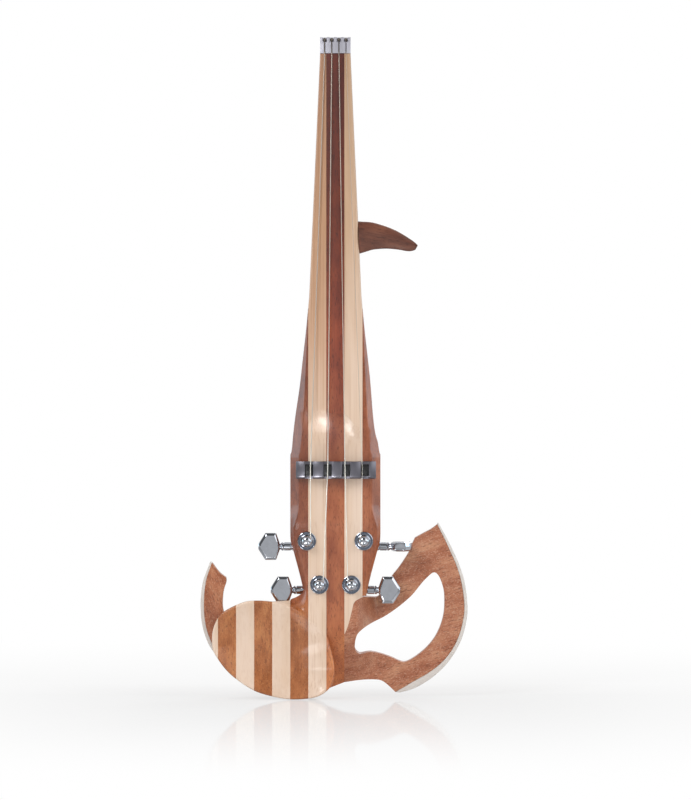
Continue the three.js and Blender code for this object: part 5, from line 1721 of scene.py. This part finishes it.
# Floor: white acrylic that mirrors the object in front of it only. Its gap is in millimetres, the rest in
# metres. In each map below 1 and 2 are what is read, 3 and 4 what is made of it, or else 0 and 1
floor_gap = 0.3
floor_size = 60.0
floor_light = 0.9
ahead_map = {1: -1.0, 2: 0.0}
floor_stops = [(0.1, 0.6), (0.6, 0.35), (0.8, 0.3), (1.0, 0.65)]
white_map = {1: 0.1, 2: 0.9, 3: 0.7, 4: 1.0}
beside_map = {1: 0.14, 2: 0.34, 3: 1.0, 4: 0.0}
behind_map = {1: 0.02, 2: 0.16, 3: 1.0, 4: 0.0}
mirror_map = {1: 0.02, 2: 0.8, 3: 0.3, 4: 0.0}
polish_roughness = 0.04


def grey_stops(stops):
    return [(share, grey(level)) for share, level in stops]


def white_floor():
    clear_selection()
    bpy.ops.mesh.primitive_plane_add(size=floor_size, location=(0, 0, -(seat_height + floor_gap) * MM))
    floor = settle(named("floor"))
    material = bpy.data.materials.new("white_acrylic_floor")
    material.use_nodes = True
    tree = material.node_tree
    tree.nodes.clear()
    place = add_node(tree, "TexCoord").outputs["Object"]
    parts = add_node(tree, "SeparateXYZ", {0: place}).outputs
    path = add_node(tree, "LightPath").outputs
    reach = add_node(tree, "VectorMath", {0: place}, operation="LENGTH").outputs["Value"]
    lit = add_node(tree, "BsdfDiffuse", {"Color": grey(floor_light)})
    ahead = add_node(tree, "MapRange", {0: parts["Y"], **ahead_map})
    in_mirrors = add_node(tree, "ValToRGB", {0: ahead}, grey_stops(floor_stops))
    shown = add_node(tree, "Mix", {0: path["Is Camera Ray"], 6: in_mirrors, 7: grey(1.0)}, data_type="RGBA")
    white = add_node(tree, "Emission", {"Strength": 1.0, "Color": shown.outputs[2]})
    seen = add_node(tree, "Math", {0: path["Is Camera Ray"], 1: path["Is Glossy Ray"]}, operation="MAXIMUM")
    far = add_node(tree, "MapRange", {0: reach, **white_map}, interpolation_type="SMOOTHSTEP")
    seen_share = add_node(tree, "Math", {0: seen, 1: far}, operation="MULTIPLY")
    ground = add_node(tree, "MixShader", {0: seen_share, 1: lit, 2: white})
    gloss = add_node(tree, "BsdfGlossy", {"Color": grey(1.0), "Roughness": polish_roughness})
    beside = add_node(tree, "Math", {0: parts["X"]}, operation="ABSOLUTE")
    to_sides = add_node(tree, "MapRange", {0: beside, **beside_map})
    to_back = add_node(tree, "MapRange", {0: parts["Y"], **behind_map})
    fade = add_node(tree, "MapRange", {0: reach, **mirror_map}, interpolation_type="SMOOTHSTEP")
    in_front = add_node(tree, "Math", {0: to_sides, 1: to_back}, operation="MULTIPLY")
    mirror_share = add_node(tree, "Math", {0: fade, 1: in_front}, operation="MULTIPLY")
    polished = add_node(tree, "MixShader", {0: mirror_share, 1: ground, 2: gloss})
    add_node(tree, "OutputMaterial", {0: polished})
    floor.data.materials.append(material)


# World: white to the eye, an even light on matt surfaces, and for gloss a dark room with bright sides and a
# panel high up on the treble side. The maps read directions
room_stops = [(0.0, 0.64), (0.03, 0.6), (0.09, 0.14), (0.55, 0.11), (0.75, 0.45), (0.9, 0.72)]
side_box_glow = [2.1, 2.7, 3.0, 1.0]
panel_glow = grey(1.9)
even_light = grey(0.58)
side_box_map = {1: 0.9, 2: 0.96}
panel_across_map = {1: 0.3, 2: 0.55}
panel_up_map = {1: 0.0, 2: 0.2}
panel_ahead_map = {1: -0.5, 2: -0.25, 3: 1.0, 4: 0.0}


def studio_world():
    world = bpy.data.worlds.new("studio")
    bpy.context.scene.world = world
    world.use_nodes = True
    tree = world.node_tree
    tree.nodes.clear()
    path = add_node(tree, "LightPath").outputs
    parts = add_node(tree, "SeparateXYZ", {0: add_node(tree, "TexCoord").outputs["Generated"]}).outputs
    room = add_node(tree, "MapRange", {0: parts["Y"], **ahead_map})
    studio = add_node(tree, "ValToRGB", {0: room}, grey_stops(room_stops))
    aside = add_node(tree, "Math", {0: parts["X"]}, operation="ABSOLUTE")
    boxes = add_node(tree, "MapRange", {0: aside, **side_box_map}, interpolation_type="SMOOTHSTEP")
    across = add_node(tree, "MapRange", {0: parts["X"], **panel_across_map})
    upwards = add_node(tree, "MapRange", {0: parts["Z"], **panel_up_map})
    ahead = add_node(tree, "MapRange", {0: parts["Y"], **panel_ahead_map})
    corner = add_node(tree, "Math", {0: across, 1: upwards}, operation="MULTIPLY")
    panel = add_node(tree, "Math", {0: corner, 1: ahead}, operation="MULTIPLY")
    studio = add_node(tree, "Mix", {0: boxes, 6: studio, 7: side_box_glow}, data_type="RGBA").outputs[2]
    studio = add_node(tree, "Mix", {0: panel, 6: studio, 7: panel_glow}, data_type="RGBA").outputs[2]
    glossy = {0: path["Is Glossy Ray"], 6: even_light, 7: studio}
    lit = add_node(tree, "Mix", glossy, data_type="RGBA").outputs[2]
    shown = {0: path["Is Camera Ray"], 6: lit, 7: grey(1.0)}
    seen = add_node(tree, "Mix", shown, data_type="RGBA").outputs[2]
    add_node(tree, "OutputWorld", {0: add_node(tree, "Background", {"Strength": 1.0, "Color": seen})})


# Lamps: places and sizes in metres, power in watts
def soft_lamp(name, place, size, power, aim=(0.0, 0.0, 0.15), spread=180, gloss_only=False, mirrored=True):
    data = bpy.data.lights.new(name, "AREA")
    data.shape = "RECTANGLE"
    data.size, data.size_y = size
    data.energy = power
    data.spread = math.radians(spread)
    lamp = bpy.data.objects.new(name, data)
    bpy.context.scene.collection.objects.link(lamp)
    lamp.location = place
    lamp.rotation_euler = (Vector(aim) - Vector(place)).to_track_quat("-Z", "Y").to_euler()
    lamp.visible_camera = False
    lamp.visible_diffuse = not gloss_only
    lamp.visible_glossy = mirrored


def light_up():
    scoop = (-0.012, -0.05, 0.165)
    posts = (0.0, -0.055, 0.08)
    overhead = (-0.125, -0.25, 1.0)
    soft_lamp("key_lamp", (-1.2, -1.8, 1.5), (0.9, 0.9), 21)
    soft_lamp("fill_lamp", (1.5, -1.6, 0.9), (0.8, 1.2), 11, mirrored=False)
    soft_lamp("back_lamp", (0.6, 1.9, 1.3), (1.0, 1.0), 13)
    soft_lamp("scoop_glow", (-0.09, -0.25, -0.01), (0.1, 0.4), 0.12, scoop, spread=60, gloss_only=True)
    for side, x in (("bass", -0.09), ("treble", 0.09)):
        place = (x, -0.27, -0.04)
        soft_lamp("post_glow_" + side, place, (0.04, 0.04), 0.003, posts, spread=30, gloss_only=True)
    soft_lamp("dish_glow", (-0.125, -0.25, -0.04), (0.05, 0.14), 0.14, overhead, gloss_only=True)


# Camera, straight in front of the object. All in millimetres
view_x = 8.0
view_z = 236.3
view_height = 629.4
view_depth = 52.0
lens = 200.0
film_height = 36.0


def camera():
    data = bpy.data.cameras.new("camera")
    data.lens = lens
    data.sensor_fit = "VERTICAL"
    data.sensor_height = film_height
    view = bpy.data.objects.new("camera", data)
    bpy.context.scene.collection.objects.link(view)
    view.location = spot(view_x, view_depth + view_height * lens / film_height, view_z)
    view.rotation_euler = (math.pi / 2, 0, 0)
    bpy.context.scene.camera = view


camera()
dress_wood()
dress_fittings()
dress_tuners()
dress_hidden()
white_floor()
studio_world()
light_up()
bpy.context.scene.view_settings.view_transform = "Standard"
